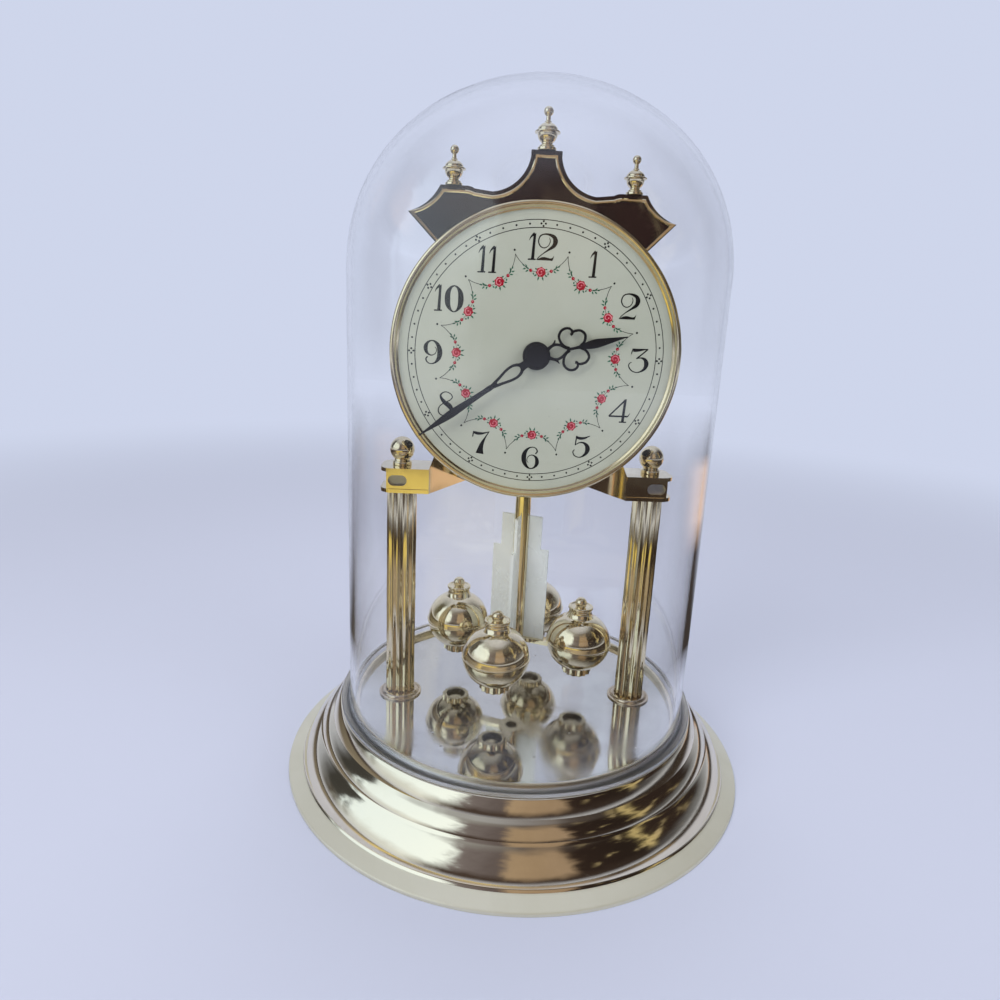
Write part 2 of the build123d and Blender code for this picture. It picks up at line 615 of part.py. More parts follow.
def bridge_block():
    """Right end of the bridge: two ledges with slotted walls and a sleeve for the tie rod."""
    length = BLOCK_OUTER_X - BLOCK_INNER_X
    middle_x = (BLOCK_OUTER_X + BLOCK_INNER_X) / 2
    plan = Pos(middle_x, COLUMN_Y) * Rectangle(length, BLOCK_DEPTH)
    plan = fillet(plan.vertices().filter_by(lambda corner: corner.X > middle_x), BLOCK_CORNER)
    ledge = extrude(plan, LEDGE_THICKNESS)
    block = Pos(0, 0, BRIDGE_BOTTOM) * ledge
    block += Pos(0, 0, BRIDGE_TOP - LEDGE_THICKNESS) * ledge
    wall_depth = BLOCK_DEPTH - 2 * LEDGE_OVERHANG
    wall_end = COLUMN_X + SLEEVE_REACH
    walls = Pos((BLOCK_INNER_X + wall_end) / 2, COLUMN_Y) * Rectangle(wall_end - BLOCK_INNER_X, wall_depth)
    cavity_start = BLOCK_INNER_X + BRIDGE_WALL
    cavity_length = BLOCK_OUTER_X - cavity_start
    cavity = Rectangle(cavity_length, wall_depth - 2 * BRIDGE_WALL)
    walls -= Pos(cavity_start + cavity_length / 2, COLUMN_Y) * cavity
    walls += Pos(COLUMN_X, COLUMN_Y) * Circle(ROD_RADIUS + ROD_FIT + SLEEVE_WALL)
    block += Pos(0, 0, BRIDGE_BOTTOM) * extrude(walls, BRIDGE_HEIGHT)
    rod_hole = bar(ROD_RADIUS + ROD_FIT, BRIDGE_BOTTOM - OVERRUN, BRIDGE_TOP + OVERRUN)
    block -= Pos(COLUMN_X, COLUMN_Y) * rod_hole
    slot_place = Pos(COLUMN_X + SLOT_SHIFT, COLUMN_Y - BLOCK_DEPTH / 2, BRIDGE_BOTTOM + BRIDGE_HEIGHT / 2)
    slot = slot_place * Rot(90, 0, 0) * SlotOverall(SLOT_LENGTH, SLOT_HEIGHT)
    slot_depth = LEDGE_OVERHANG + BRIDGE_WALL + OVERRUN / 2
    return block - extrude(slot, -slot_depth)


def bridge_arm():
    """Right arm: an upright wall that runs back and in, behind the dial."""
    front = COLUMN_Y - BLOCK_DEPTH / 2 + LEDGE_OVERHANG
    slant = math.atan2(CROSSBAR_Y - front, BLOCK_INNER_X - ARM_INNER_X)
    shift_x = ARM_WALL * math.sin(slant)
    shift_y = ARM_WALL * math.cos(slant)
    plan = make_face(Polyline(
        (BLOCK_INNER_X, front), (ARM_INNER_X, CROSSBAR_Y), (ARM_INNER_X, CROSSBAR_Y + ARM_WALL),
        (ARM_INNER_X + shift_x, CROSSBAR_Y + ARM_WALL), (BLOCK_INNER_X + shift_x, front + shift_y),
        (BLOCK_INNER_X, front),
    ))
    arm = Pos(0, 0, BRIDGE_BOTTOM) * extrude(plan, SHELF_TOP - BRIDGE_BOTTOM)
    ramp_x = BLOCK_INNER_X - ARM_RAMP
    clear_z = SHELF_TOP + OVERRUN
    above = make_face(Polyline(
        (BLOCK_INNER_X, BRIDGE_TOP), (ramp_x, SHELF_TOP), (ramp_x, clear_z),
        (BLOCK_OUTER_X, clear_z), (BLOCK_OUTER_X, BRIDGE_TOP), (BLOCK_INNER_X, BRIDGE_TOP),
    ))
    return arm - extrude(Plane.XZ * above, BLOCK_DEPTH, both=True)


def bridge_shelf():
    """Shelf under the movement, with the crossbar at its back."""
    front = -HOUSING_FRONT
    slope = (BLOCK_INNER_X - ARM_INNER_X) / (CROSSBAR_Y - (COLUMN_Y - BLOCK_DEPTH / 2 + LEDGE_OVERHANG))
    side_y = CROSSBAR_Y - SHELF_SIDE_REACH / slope
    side = (ARM_INNER_X + SHELF_SIDE_REACH, side_y)
    right = [(SHELF_FRONT_HALF_WIDTH, front), side, (ARM_INNER_X, CROSSBAR_Y)]
    left = [(-x, y) for x, y in reversed(right)]
    plan = make_face(Polyline(*right, *left, right[0]))
    plan -= Pos(0, PENDULUM_Y) * Circle(SPINDLE_HOLE_RADIUS)
    shelf = Pos(0, 0, SHELF_TOP - SHELF_THICKNESS) * extrude(plan, SHELF_THICKNESS)
    bar_size = (2 * ARM_INNER_X, ARM_WALL, SHELF_TOP - BRIDGE_BOTTOM)
    shelf += Pos(0, CROSSBAR_Y, BRIDGE_BOTTOM) * Box(*bar_size, align=(Align.CENTER, Align.MIN, Align.MIN))
    under = SHELF_TOP - SHELF_THICKNESS
    for place in case_screw_places():
        shelf -= place * bar(CASE_SCREW_RADIUS + SCREW_FIT, under - OVERRUN, SHELF_TOP + OVERRUN)
    return shelf


def bridge():
    """One moulding that joins the columns and carries the case."""
    side = bridge_block() + bridge_arm()
    return side + mirror(side, Plane.YZ) + bridge_shelf()


def case_screw_places():
    """Axes of the two screws that hold the case's foot on the shelf."""
    return [Pos(side * CASE_SCREW_X, CASE_SCREW_INSET - HOUSING_FRONT) for side in (-1, 1)]


def case_screw():
    """Pan head screw, from below the shelf up into the case's foot."""
    under = SHELF_TOP - SHELF_THICKNESS
    tip = SHELF_TOP + CASE_FOOT_THICKNESS - SCREW_FIT
    head = bar(CASE_SCREW_HEAD_RADIUS, under - CASE_SCREW_HEAD_HEIGHT, under)
    return head + bar(CASE_SCREW_RADIUS, under, tip)


def dial_case():
    """Round back plate of the dial with a foot that stands on the bridge."""
    plate = bar(CASE_RADIUS, HOUSING_FRONT, CASE_FRONT) - bar(BUSH_RADIUS + BUSH_FIT, 0, DIAL_FORWARD)
    for place in crown_screw_places():
        plate -= place * bar(CROWN_SCREW_RADIUS + SCREW_FIT, HOUSING_FRONT - OVERRUN, CASE_FRONT + OVERRUN)
    plate = DIAL_FRAME * plate
    foot_size = (2 * CASE_FOOT_HALF_WIDTH, CASE_FOOT_DEPTH + CASE_THICKNESS, CASE_FOOT_THICKNESS)
    foot = Pos(0, -CASE_FRONT, SHELF_TOP) * Box(*foot_size, align=(Align.CENTER, Align.MIN, Align.MIN))
    foot_top = SHELF_TOP + CASE_FOOT_THICKNESS
    for place in case_screw_places():
        foot -= place * bar(CASE_SCREW_RADIUS + SCREW_FIT, SHELF_TOP - OVERRUN, foot_top + OVERRUN)
    return plate + foot


def dial():
    """Flat dial disc."""
    bush_hole = bar(BUSH_RADIUS + BUSH_FIT, 0, DIAL_FORWARD + OVERRUN)
    return DIAL_FRAME * (bar(DIAL_RADIUS, CASE_FRONT, DIAL_FORWARD) - bush_hole)


def bezel():
    """Turned ring that holds the dial's edge to the case."""
    front = DIAL_FORWARD + BEZEL_RISE
    back = front - BEZEL_DEPTH
    skirt = CASE_RADIUS + BEZEL_FIT
    crest = (BEZEL_RADIUS + BEZEL_OPENING) / 2
    round_start = (BEZEL_RADIUS, front - BEZEL_RISE / 2)
    round_middle = (BEZEL_RADIUS - (BEZEL_RADIUS - crest) / 4, front - BEZEL_RISE / 8)
    lip = DIAL_FORWARD
    ring = lathe([
        Polyline((skirt, lip), (skirt, back), (BEZEL_RADIUS, back), round_start),
        ThreePointArc(round_start, round_middle, (crest, front)),
        Polyline((crest, front), (DIAL_RADIUS - BEZEL_LIP / 2, lip), (skirt, lip)),
    ])
    return DIAL_FRAME * ring


def crown_outline():
    """Face of the crown: a stepped top, two shoulders and radial ends round the bezel."""
    tip = polar(BEZEL_RADIUS + CROWN_TIP_REACH, CROWN_END_ANGLE)
    inner_radius = BEZEL_RADIUS - CROWN_TUCK
    inner = polar(inner_radius, CROWN_END_ANGLE)
    top = (CROWN_TOP_HALF_WIDTH, CROWN_TOP_RISE)
    valley = (CROWN_VALLEY_X, BEZEL_RADIUS + CROWN_VALLEY_REACH)
    shoulder_in = (CROWN_SHOULDER_INNER_X, CROWN_SHOULDER_RISE)
    shoulder_out = (CROWN_SHOULDER_OUTER_X, CROWN_SHOULDER_RISE)
    turning = ((valley[0] + shoulder_in[0]) / 2, (valley[1] + shoulder_in[1]) / 2)
    neck = (CROWN_TOP_HALF_WIDTH, CROWN_TOP_RISE - BEAD_INSET)
    right = [
        Line((0, CROWN_TOP_RISE), top),
        Line(top, neck),
        TangentArc(valley, neck, tangent=(-1, 0)),
        TangentArc(valley, turning, tangent=(1, 0)),
        TangentArc(shoulder_in, turning, tangent=(-1, 0)),
        Line(shoulder_in, shoulder_out),
        TangentArc(tip, shoulder_out, tangent=(-1, CROWN_END_SLOPE)),
        Line(tip, inner),
    ]
    left = [mirror(edge, Plane.YZ) for edge in right]
    arc = ThreePointArc(inner, (0, inner_radius), (-inner[0], inner[1]))
    return make_face(right + left + [arc])


def housing_plan(grow=0):
    """Square plan of the movement with round corners, grown by a gap."""
    side = HOUSING_SIZE + 2 * grow
    return fillet(Rectangle(side, side).vertices(), HOUSING_CORNER + grow)


def crown_screw_places():
    """Axes of the crown's screws, in the dial's frame."""
    radius = (CASE_RADIUS + BEZEL_RADIUS - CROWN_TUCK) / 2
    return [Pos(*polar(radius, 90 + side * CROWN_SCREW_ANGLE)) for side in (-1, 1)]


def urn_places():
    """Feet of the three urn finials, in the dial's frame."""
    return [(-URN_FINIAL_X, CROWN_SHOULDER_RISE), (0, CROWN_TOP_RISE), (URN_FINIAL_X, CROWN_SHOULDER_RISE)]


def crown():
    """Crown plate with a bead that follows its outline."""
    face = crown_outline() - housing_plan(CROWN_HOUSING_GAP)
    back = HOUSING_FRONT - CROWN_DEPTH
    plate = Pos(0, 0, back) * extrude(face, CROWN_DEPTH)
    bead = offset(face, -BEAD_INSET) - offset(face, -BEAD_INSET - BEAD_WIDTH)
    bead -= Circle(BEZEL_RADIUS + BEZEL_FIT)
    plate += Pos(0, 0, HOUSING_FRONT) * extrude(bead, BEAD_RISE)
    for place in crown_screw_places():
        plate -= place * bar(CROWN_SCREW_RADIUS + SCREW_FIT, back - OVERRUN, HOUSING_FRONT + OVERRUN)
    for x, y in urn_places():
        hole = bar(URN_PEG_RADIUS + SCREW_FIT, -URN_PEG_DEPTH - SCREW_FIT, OVERRUN)
        plate -= Pos(x, y, back + CROWN_DEPTH / 2) * Rot(-90, 0, 0) * hole
    return DIAL_FRAME * plate


def crown_screw():
    """Screw that holds the crown to the case from behind."""
    back = HOUSING_FRONT - CROWN_DEPTH
    head = bar(CROWN_SCREW_HEAD_RADIUS, back - CROWN_SCREW_HEAD_HEIGHT, back)
    return head + bar(CROWN_SCREW_RADIUS, back, CASE_FRONT - SCREW_FIT)


def urn_finial():
    """Turned urn with a ball tip and a peg, drawn on Z from its foot."""
    outline = [(share[0] * URN_RADIUS, share[1] * URN_HEIGHT) for share in URN_SHARES]
    ball_radius = URN_BALL_SHARE * URN_RADIUS
    centre = URN_HEIGHT - ball_radius
    neck_radius = outline[-1][0]
    neck = (neck_radius, centre - math.sqrt(ball_radius**2 - neck_radius**2))
    body = lathe([
        Polyline((0, 0), *outline, neck),
        ThreePointArc(neck, (ball_radius, centre), (0, URN_HEIGHT)),
        Line((0, URN_HEIGHT), (0, 0)),
    ])
    return body + bar(URN_PEG_RADIUS, -URN_PEG_DEPTH, 0)


def crown_finials():
    """Three urn finials on the crown."""
    middle = HOUSING_FRONT - CROWN_DEPTH / 2
    places = [DIAL_FRAME * Pos(x, y, middle) * Rot(-90, 0, 0) for x, y in urn_places()]
    return grouped(place * urn_finial() for place in places)


def blade(shares, length, width):
    """Blade of a hand that points along local Y."""
    right = [(share[1] * width, share[0] * length) for share in shares]
    left = [(-x, y) for x, y in reversed(right)]
    return make_face(Polyline(*right, *left, right[0]))


def ring_stroke(x, y, radius):
    """Flat ring of the hands' stroke width."""
    half = HAND_STROKE / 2
    return Pos(x, y) * (Circle(radius + half) - Circle(radius - half))


def hour_hand():
    """Hour hand: boss, two scrolled hearts and a spear blade."""
    plan = Circle(HOUR_BOSS_RADIUS) + blade(HOUR_BLADE_SHARES, HOUR_HAND_LENGTH, HOUR_BLADE_WIDTH)
    for side in (-1, 1):
        loop = ring_stroke(side * HOUR_LOOP_OFFSET, HOUR_LOOP_REACH, HOUR_LOOP_RADIUS)
        lobe = ring_stroke(side * HOUR_LOBE_OFFSET, HOUR_LOBE_REACH, HOUR_LOBE_RADIUS)
        loop -= Pos(side * HOUR_LOBE_OFFSET, HOUR_LOBE_REACH) * Circle(HOUR_LOBE_RADIUS - HAND_STROKE / 2)
        lobe -= Pos(side * HOUR_LOOP_OFFSET, HOUR_LOOP_REACH) * Circle(HOUR_LOOP_RADIUS - HAND_STROKE / 2)
        nib = (side * HOUR_NIB_OFFSET, HOUR_NIB_REACH)
        arm_end = (side * HOUR_LOOP_OFFSET, HOUR_LOOP_REACH - HOUR_LOOP_RADIUS)
        arm_start = (side * HAND_STROKE / 2, HOUR_BOSS_RADIUS - HAND_STROKE / 2)
        arm = TangentArc(arm_start, nib, tangent=(side, HOUR_ARM_STEEPNESS))
        plan += loop + lobe + trace([arm, Line(nib, arm_end)], HAND_STROKE)
    plate = Pos(0, 0, HOUR_HAND_BACK) * extrude(plan, HAND_THICKNESS)
    plate -= bar(HOUR_TUBE_RADIUS, 0, MINUTE_HAND_BACK)
    return DIAL_FRAME * Rot(0, 0, -HOUR_HAND_ANGLE) * plate


def minute_hand():
    """Minute hand: capped boss, drop-shaped loop and a long blade."""
    plan = Circle(MINUTE_BOSS_RADIUS) + blade(MINUTE_BLADE_SHARES, MINUTE_HAND_LENGTH, MINUTE_BLADE_WIDTH)
    neck_start = (MINUTE_NECK_WIDTH / 2, MINUTE_LOOP_START)
    plan += Pos(0, MINUTE_LOOP_START / 2) * Rectangle(MINUTE_NECK_WIDTH, MINUTE_LOOP_START + HAND_STROKE)
    radius = MINUTE_LOOP_WIDTH / 2
    centre = MINUTE_LOOP_START + radius
    plan += minute_drop(centre, radius, MINUTE_LOOP_END)
    inner_end = MINUTE_LOOP_END - neck_start[0]
    plan -= minute_drop(centre, radius - HAND_STROKE, inner_end)
    plate = Pos(0, 0, MINUTE_HAND_BACK) * extrude(plan, HAND_THICKNESS)
    collar_radius = (MINUTE_BOSS_RADIUS + MINUTE_ARBOR_RADIUS) / 2
    collar = bar(collar_radius, MINUTE_HAND_BACK - HAND_BOSS_GAP / 2, MINUTE_HAND_BACK)
    socket = bar(MINUTE_ARBOR_RADIUS, 0, MINUTE_HAND_BACK)
    return DIAL_FRAME * Rot(0, 0, -MINUTE_HAND_ANGLE) * (plate + collar - socket)


def minute_drop(centre, radius, end):
    """Drop shape: a round end towards the boss and a point at its far end."""
    reach = end - centre
    touch = math.acos(radius / reach)
    side = (radius * math.sin(touch), centre + radius * math.cos(touch))
    return make_face([
        Line((0, end), side),
        ThreePointArc(side, (0, centre - radius), (-side[0], side[1])),
        Line((-side[0], side[1]), (0, end)),
    ])


def gear(teeth, module, thickness, bore=0, turn=0):
    """Spur wheel on local Z with straight-flanked teeth."""
    pitch_radius = teeth * module / 2
    points = []
    for tooth in range(teeth):
        middle = FULL_TURN * tooth / teeth + turn
        flank = [
            (pitch_radius + rise * module, width * module - GEAR_BACKLASH / 2)
            for rise, width in TOOTH_SHARES
        ]
        rising = [polar(radius, middle - math.degrees(half / radius)) for radius, half in flank]
        falling = [polar(radius, middle + math.degrees(half / radius)) for radius, half in reversed(flank)]
        points += rising + falling
    wheel = extrude(make_face(Polyline(*points, points[0])), thickness)
    if bore:
        wheel -= bar(bore, -OVERRUN, thickness + OVERRUN)
    return wheel


def mesh_turn(driver_teeth, driven_teeth, direction, driver_turn=0):
    """Angle of a driven wheel's first tooth, so that a gap faces the driver's tooth."""
    driver_phase = (direction - driver_turn) % (FULL_TURN / driver_teeth) * driver_teeth / FULL_TURN
    return direction + FULL_TURN / 2 + (0.5 + driver_phase) * FULL_TURN / driven_teeth


MOTION_AT = polar(MOTION_DISTANCE, MOTION_ANGLE)
SETTING_AT = (
    MOTION_AT[0] + polar(MOTION_DISTANCE, SETTING_ANGLE)[0],
    MOTION_AT[1] + polar(MOTION_DISTANCE, SETTING_ANGLE)[1],
)
TRANSFER_AT = polar(TRANSFER_DISTANCE, TRANSFER_ANGLE)
ROTOR_AT = (
    TRANSFER_AT[0] + polar(ROTOR_DISTANCE, ROTOR_ANGLE)[0],
    TRANSFER_AT[1] + polar(ROTOR_DISTANCE, ROTOR_ANGLE)[1],
)
MOTION_TURN = mesh_turn(CANNON_TEETH, MOTION_TEETH, MOTION_ANGLE)
MOTION_PINION_TURN = mesh_turn(HOUR_TEETH, MOTION_PINION_TEETH, MOTION_ANGLE)
SETTING_TURN = mesh_turn(MOTION_TEETH, CANNON_TEETH, SETTING_ANGLE, MOTION_TURN)
TRANSFER_PINION_TURN = mesh_turn(CENTRE_TEETH, TRANSFER_PINION_TEETH, TRANSFER_ANGLE)
ROTOR_TURN = mesh_turn(TRANSFER_TEETH, ROTOR_TEETH, ROTOR_ANGLE)


def back_of(depth, thickness):
    """Local height of the rear face of a layer of some thickness."""
    return layer(depth) - thickness


def hour_wheel():
    """Hour wheel with the tube that carries the hour hand."""
    wheel = Pos(0, 0, back_of(HOUR_LAYER, GEAR_THICKNESS)) * gear(HOUR_TEETH, HOUR_MODULE, GEAR_THICKNESS)
    wheel += bar(HOUR_TUBE_RADIUS, back_of(HOUR_LAYER, GEAR_THICKNESS), HOUR_HAND_BACK + HAND_THICKNESS)
    bore = bar(MINUTE_ARBOR_RADIUS + RUNNING_FIT, 0, MINUTE_HAND_BACK)
    return DIAL_FRAME * (wheel - bore)


def centre_wheel():
    """Centre wheel and cannon pinion on the minute arbor."""
    disc = gear(CENTRE_TEETH, CENTRE_MODULE, GEAR_THICKNESS)
    wheel = Pos(0, 0, back_of(CENTRE_LAYER, GEAR_THICKNESS)) * disc
    pinion = gear(CANNON_TEETH, MOTION_MODULE, PINION_THICKNESS)
    wheel += Pos(0, 0, back_of(MOTION_LAYER, PINION_THICKNESS)) * pinion
    rear = back_of(REAR_PLATE_LAYER, GEAR_PLATE_THICKNESS)
    return DIAL_FRAME * (wheel + bar(MINUTE_ARBOR_RADIUS, rear, MINUTE_HAND_BACK))


def motion_wheel():
    """Motion wheel and pinion, loose on a post of the housing."""
    wheel = Pos(0, 0, back_of(MOTION_LAYER, GEAR_THICKNESS)) * gear(
        MOTION_TEETH, MOTION_MODULE, GEAR_THICKNESS, turn=MOTION_TURN
    )
    depth = MOTION_LAYER - HOUR_LAYER
    pinion = gear(MOTION_PINION_TEETH, HOUR_MODULE, depth, turn=MOTION_PINION_TURN)
    wheel += Pos(0, 0, layer(MOTION_LAYER)) * pinion
    bore = bar(MOTION_POST_RADIUS + RUNNING_FIT, 0, layer(0))
    return DIAL_FRAME * Pos(*MOTION_AT) * (wheel - bore)


def transfer_wheel():
    """Wheel and pinion between rotor and centre wheel."""
    disc = gear(TRANSFER_TEETH, TRANSFER_MODULE, GEAR_THICKNESS)
    wheel = Pos(0, 0, back_of(TRANSFER_LAYER, GEAR_THICKNESS)) * disc
    pinion = gear(TRANSFER_PINION_TEETH, CENTRE_MODULE, PINION_THICKNESS, turn=TRANSFER_PINION_TURN)
    wheel += Pos(0, 0, back_of(CENTRE_LAYER, PINION_THICKNESS)) * pinion
    rear = back_of(REAR_PLATE_LAYER, GEAR_PLATE_THICKNESS)
    return DIAL_FRAME * Pos(*TRANSFER_AT) * (wheel + bar(THIN_ARBOR_RADIUS, rear, layer(MID_PLATE_LAYER)))


def rotor():
    """Motor rotor: a round magnet and a pinion on one arbor."""
    pinion = gear(ROTOR_TEETH, TRANSFER_MODULE, PINION_THICKNESS, turn=ROTOR_TURN)
    body = Pos(0, 0, back_of(TRANSFER_LAYER, PINION_THICKNESS)) * pinion
    body += bar(THIN_ARBOR_RADIUS, layer(ROTOR_PIVOT_LAYER), layer(MID_PLATE_LAYER))
    body += bar(ROTOR_MAGNET_RADIUS, back_of(ROTOR_LAYER, ROTOR_MAGNET_LENGTH), layer(ROTOR_LAYER))
    return DIAL_FRAME * Pos(*ROTOR_AT) * body


def setting_knob():
    """Hand-setting knob outside the cover, with its arbor and pinion."""
    scallops = PolarLocations(KNOB_RADIUS + KNOB_SCALLOP_RADIUS / 2, KNOB_SCALLOPS)
    rim = Circle(KNOB_RADIUS) - scallops * Circle(KNOB_SCALLOP_RADIUS)
    outside = COVER_FRONT - COVER_THICKNESS - KNOB_GAP
    knob = Pos(0, 0, outside - KNOB_THICKNESS) * extrude(rim, KNOB_THICKNESS)
    pinion = gear(CANNON_TEETH, MOTION_MODULE, PINION_THICKNESS, turn=SETTING_TURN)
    knob += Pos(0, 0, back_of(MOTION_LAYER, PINION_THICKNESS)) * pinion
    knob += bar(SETTING_ARBOR_RADIUS, outside, layer(HOUR_LAYER))
    return DIAL_FRAME * Pos(*SETTING_AT) * knob


def pillar_places():
    """Pillars that carry the two gear plates."""
    x = GEAR_PLATE_HALF_WIDTH - PILLAR_INSET
    high = GEAR_PLATE_TOP - PILLAR_INSET
    low = PILLAR_INSET - GEAR_PLATE_BOTTOM
    return [(-x, high), (x, high), (x, low)]


def gear_plate_plan():
    """Plan of a gear plate between the battery bay and the coils."""
    height = GEAR_PLATE_TOP + GEAR_PLATE_BOTTOM
    plan = Pos(0, (GEAR_PLATE_TOP - GEAR_PLATE_BOTTOM) / 2) * Rectangle(2 * GEAR_PLATE_HALF_WIDTH, height)
    plan = fillet(plan.vertices(), PILLAR_INSET)
    plan -= Circle(MINUTE_ARBOR_RADIUS + RUNNING_FIT)
    for place in (TRANSFER_AT, ROTOR_AT):
        plan -= Pos(*place) * Circle(THIN_ARBOR_RADIUS + RUNNING_FIT)
    plan -= Pos(*SETTING_AT) * Circle(SETTING_ARBOR_RADIUS + RUNNING_FIT)
    for x, y in pillar_places():
        plan -= Pos(x, y) * Circle(PLATE_SCREW_RADIUS + SCREW_FIT)
    return plan


def mid_plate():
    """Front gear plate, which rests on the housing's pillars."""
    rear = back_of(MID_PLATE_LAYER, GEAR_PLATE_THICKNESS)
    return DIAL_FRAME * Pos(0, 0, rear) * extrude(gear_plate_plan(), GEAR_PLATE_THICKNESS)


def rear_plate():
    """Rear gear plate with legs down to the front one and seats for the stator."""
    rear = back_of(REAR_PLATE_LAYER, GEAR_PLATE_THICKNESS)
    plate = Pos(0, 0, rear) * extrude(gear_plate_plan(), GEAR_PLATE_THICKNESS)
    leg_front = back_of(MID_PLATE_LAYER, GEAR_PLATE_THICKNESS)
    for x, y in pillar_places():
        leg = bar(PILLAR_RADIUS, layer(REAR_PLATE_LAYER), leg_front)
        plate += Pos(x, y) * (leg - bar(PLATE_SCREW_RADIUS + SCREW_FIT, rear, leg_front + OVERRUN))
    for x, y, radius in stator_seats():
        plate += Pos(x, y) * bar(radius, layer(STATOR_LAYER), layer(REAR_PLATE_LAYER))
    return DIAL_FRAME * plate


def plate_screw():
    """Long screw through both gear plates into a pillar."""
    head_front = back_of(REAR_PLATE_LAYER, GEAR_PLATE_THICKNESS)
    head = bar(PLATE_SCREW_HEAD_RADIUS, head_front - PLATE_SCREW_HEAD_HEIGHT, head_front)
    return head + bar(PLATE_SCREW_RADIUS, head_front, layer(HOUR_LAYER))


def stator_seats():
    """Seats of the stator beside and above the rotor, each with its radius."""
    beside = (ROTOR_AT[0] - STATOR_HEAD, ROTOR_AT[1] - STATOR_DROP / 3, STATOR_LEG / 2)
    above = (ROTOR_AT[0], ROTOR_AT[1] + STATOR_BORE + STATOR_LEG / 4, STATOR_LEG / 4)
    return [beside, above]


def stator():
    """Flat stator with a bore round the rotor and two legs to the coil."""
    head = Rectangle(2 * STATOR_HEAD + STATOR_LEG, 2 * STATOR_BORE + STATOR_LEG) - Circle(STATOR_BORE)
    leg = Rectangle(STATOR_LEG, STATOR_DROP)
    plan = head
    for side in (-1, 1):
        plan += Pos(side * STATOR_HEAD, -STATOR_DROP / 2) * leg
    core = Pos(0, STATOR_LEG / 2 - STATOR_DROP) * Rectangle(2 * STATOR_HEAD, STATOR_LEG)
    body = Pos(0, 0, back_of(STATOR_LAYER, STATOR_THICKNESS)) * extrude(plan + core, STATOR_THICKNESS)
    return DIAL_FRAME * Pos(*ROTOR_AT) * body


def motor_coil():
    """Winding on the stator's core, between two bobbin flanges."""
    height = ROTOR_AT[1] + STATOR_LEG / 2 - STATOR_DROP
    middle = back_of(STATOR_LAYER, STATOR_THICKNESS / 2)
    winding = Circle(MOTOR_COIL_RADIUS - MOTOR_FLANGE_THICKNESS / 2)
    coil = extrude(winding, MOTOR_COIL_LENGTH / 2, both=True)
    for side in (-1, 1):
        flange = extrude(Circle(MOTOR_COIL_RADIUS), MOTOR_FLANGE_THICKNESS)
        end = side * MOTOR_COIL_LENGTH / 2 - (side + 1) * MOTOR_FLANGE_THICKNESS / 2
        coil += Pos(0, 0, end) * flange
    slot = Box(STATOR_THICKNESS + RUNNING_FIT, STATOR_LEG + RUNNING_FIT, MOTOR_COIL_LENGTH + OVERRUN)
    coil = Rot(0, 90, 0) * (coil - slot)
    return DIAL_FRAME * Pos(ROTOR_AT[0], height, middle) * coil


def board_corner():
    """Lower left corner of the circuit board in the dial's frame."""
    inset = HOUSING_SIZE / 2 - HOUSING_WALL - BOARD_GAP
    return (-inset, -inset)


def board_peg_places():
    """Two pegs of the housing that hold the board's lower edge."""
    x, y = board_corner()
    inset = 2 * BOARD_PEG_RADIUS
    return [(x + inset + COVER_POST_RADIUS, y + inset), (x + BOARD_WIDTH - inset, y + inset)]


def circuit_board():
    """Circuit board on two pegs, clear of the cover's post."""
    x, y = board_corner()
    plan = Pos(x + BOARD_WIDTH / 2, y + BOARD_HEIGHT / 2) * Rectangle(BOARD_WIDTH, BOARD_HEIGHT)
    post_x, post_y = cover_post_places()[0]
    notch = 2 * (COVER_POST_RADIUS + BOARD_GAP)
    plan -= Pos(post_x, post_y) * Rectangle(notch, notch)
    rear = back_of(REAR_PLATE_LAYER, BOARD_THICKNESS)
    return DIAL_FRAME * Pos(0, 0, rear) * extrude(plan, BOARD_THICKNESS)


def chip():
    """Round drop of resin over the circuit's chip."""
    x, y = board_corner()
    rear = back_of(REAR_PLATE_LAYER, BOARD_THICKNESS)
    curve = (CHIP_RADIUS**2 + CHIP_RISE**2) / (2 * CHIP_RISE)
    drop = Pos(0, 0, curve - CHIP_RISE) * Sphere(curve) & bar(CHIP_RADIUS, -CHIP_RISE, 0)
    share_x, share_y = CHIP_PLACE_SHARES
    return DIAL_FRAME * Pos(x + BOARD_WIDTH * share_x, y + BOARD_HEIGHT * share_y, rear) * drop


def quartz_crystal():
    """Round can of the quartz crystal, lying on the board."""
    x, y = board_corner()
    height = back_of(REAR_PLATE_LAYER, BOARD_THICKNESS) - CRYSTAL_RADIUS
    can = Rot(90, 0, 0) * bar(CRYSTAL_RADIUS, 0, CRYSTAL_LENGTH)
    share_x, share_y = CRYSTAL_PLACE_SHARES
    return DIAL_FRAME * Pos(x + BOARD_WIDTH * share_x, y + BOARD_HEIGHT * share_y, height) * can


def drive_coil():
    """Coil that keeps the pendulum turning, on a core from the housing's front."""
    rear = layer(DRIVE_COIL_REAR)
    winding = bar(DRIVE_COIL_RADIUS, rear, rear + DRIVE_COIL_LENGTH)
    winding -= bar(DRIVE_CORE_RADIUS + RUNNING_FIT, rear - OVERRUN, rear + DRIVE_COIL_LENGTH + OVERRUN)
    return DIAL_FRAME * Pos(*drive_coil_place()) * winding


def drive_coil_place():
    """Axis of the pendulum's coil, above the floor of the housing."""
    return (0, HOUSING_WALL + DRIVE_COIL_RADIUS + BOARD_GAP - HOUSING_SIZE / 2)


def cover_post_places():
    """Posts for the cover's screws, below the battery, lower left first."""
    inset = HOUSING_SIZE / 2 - COVER_SCREW_INSET
    high = GEAR_PLATE_TOP - COVER_SCREW_DROP
    return [(-inset, -inset), (inset, -inset), (inset, high), (-inset, high)]


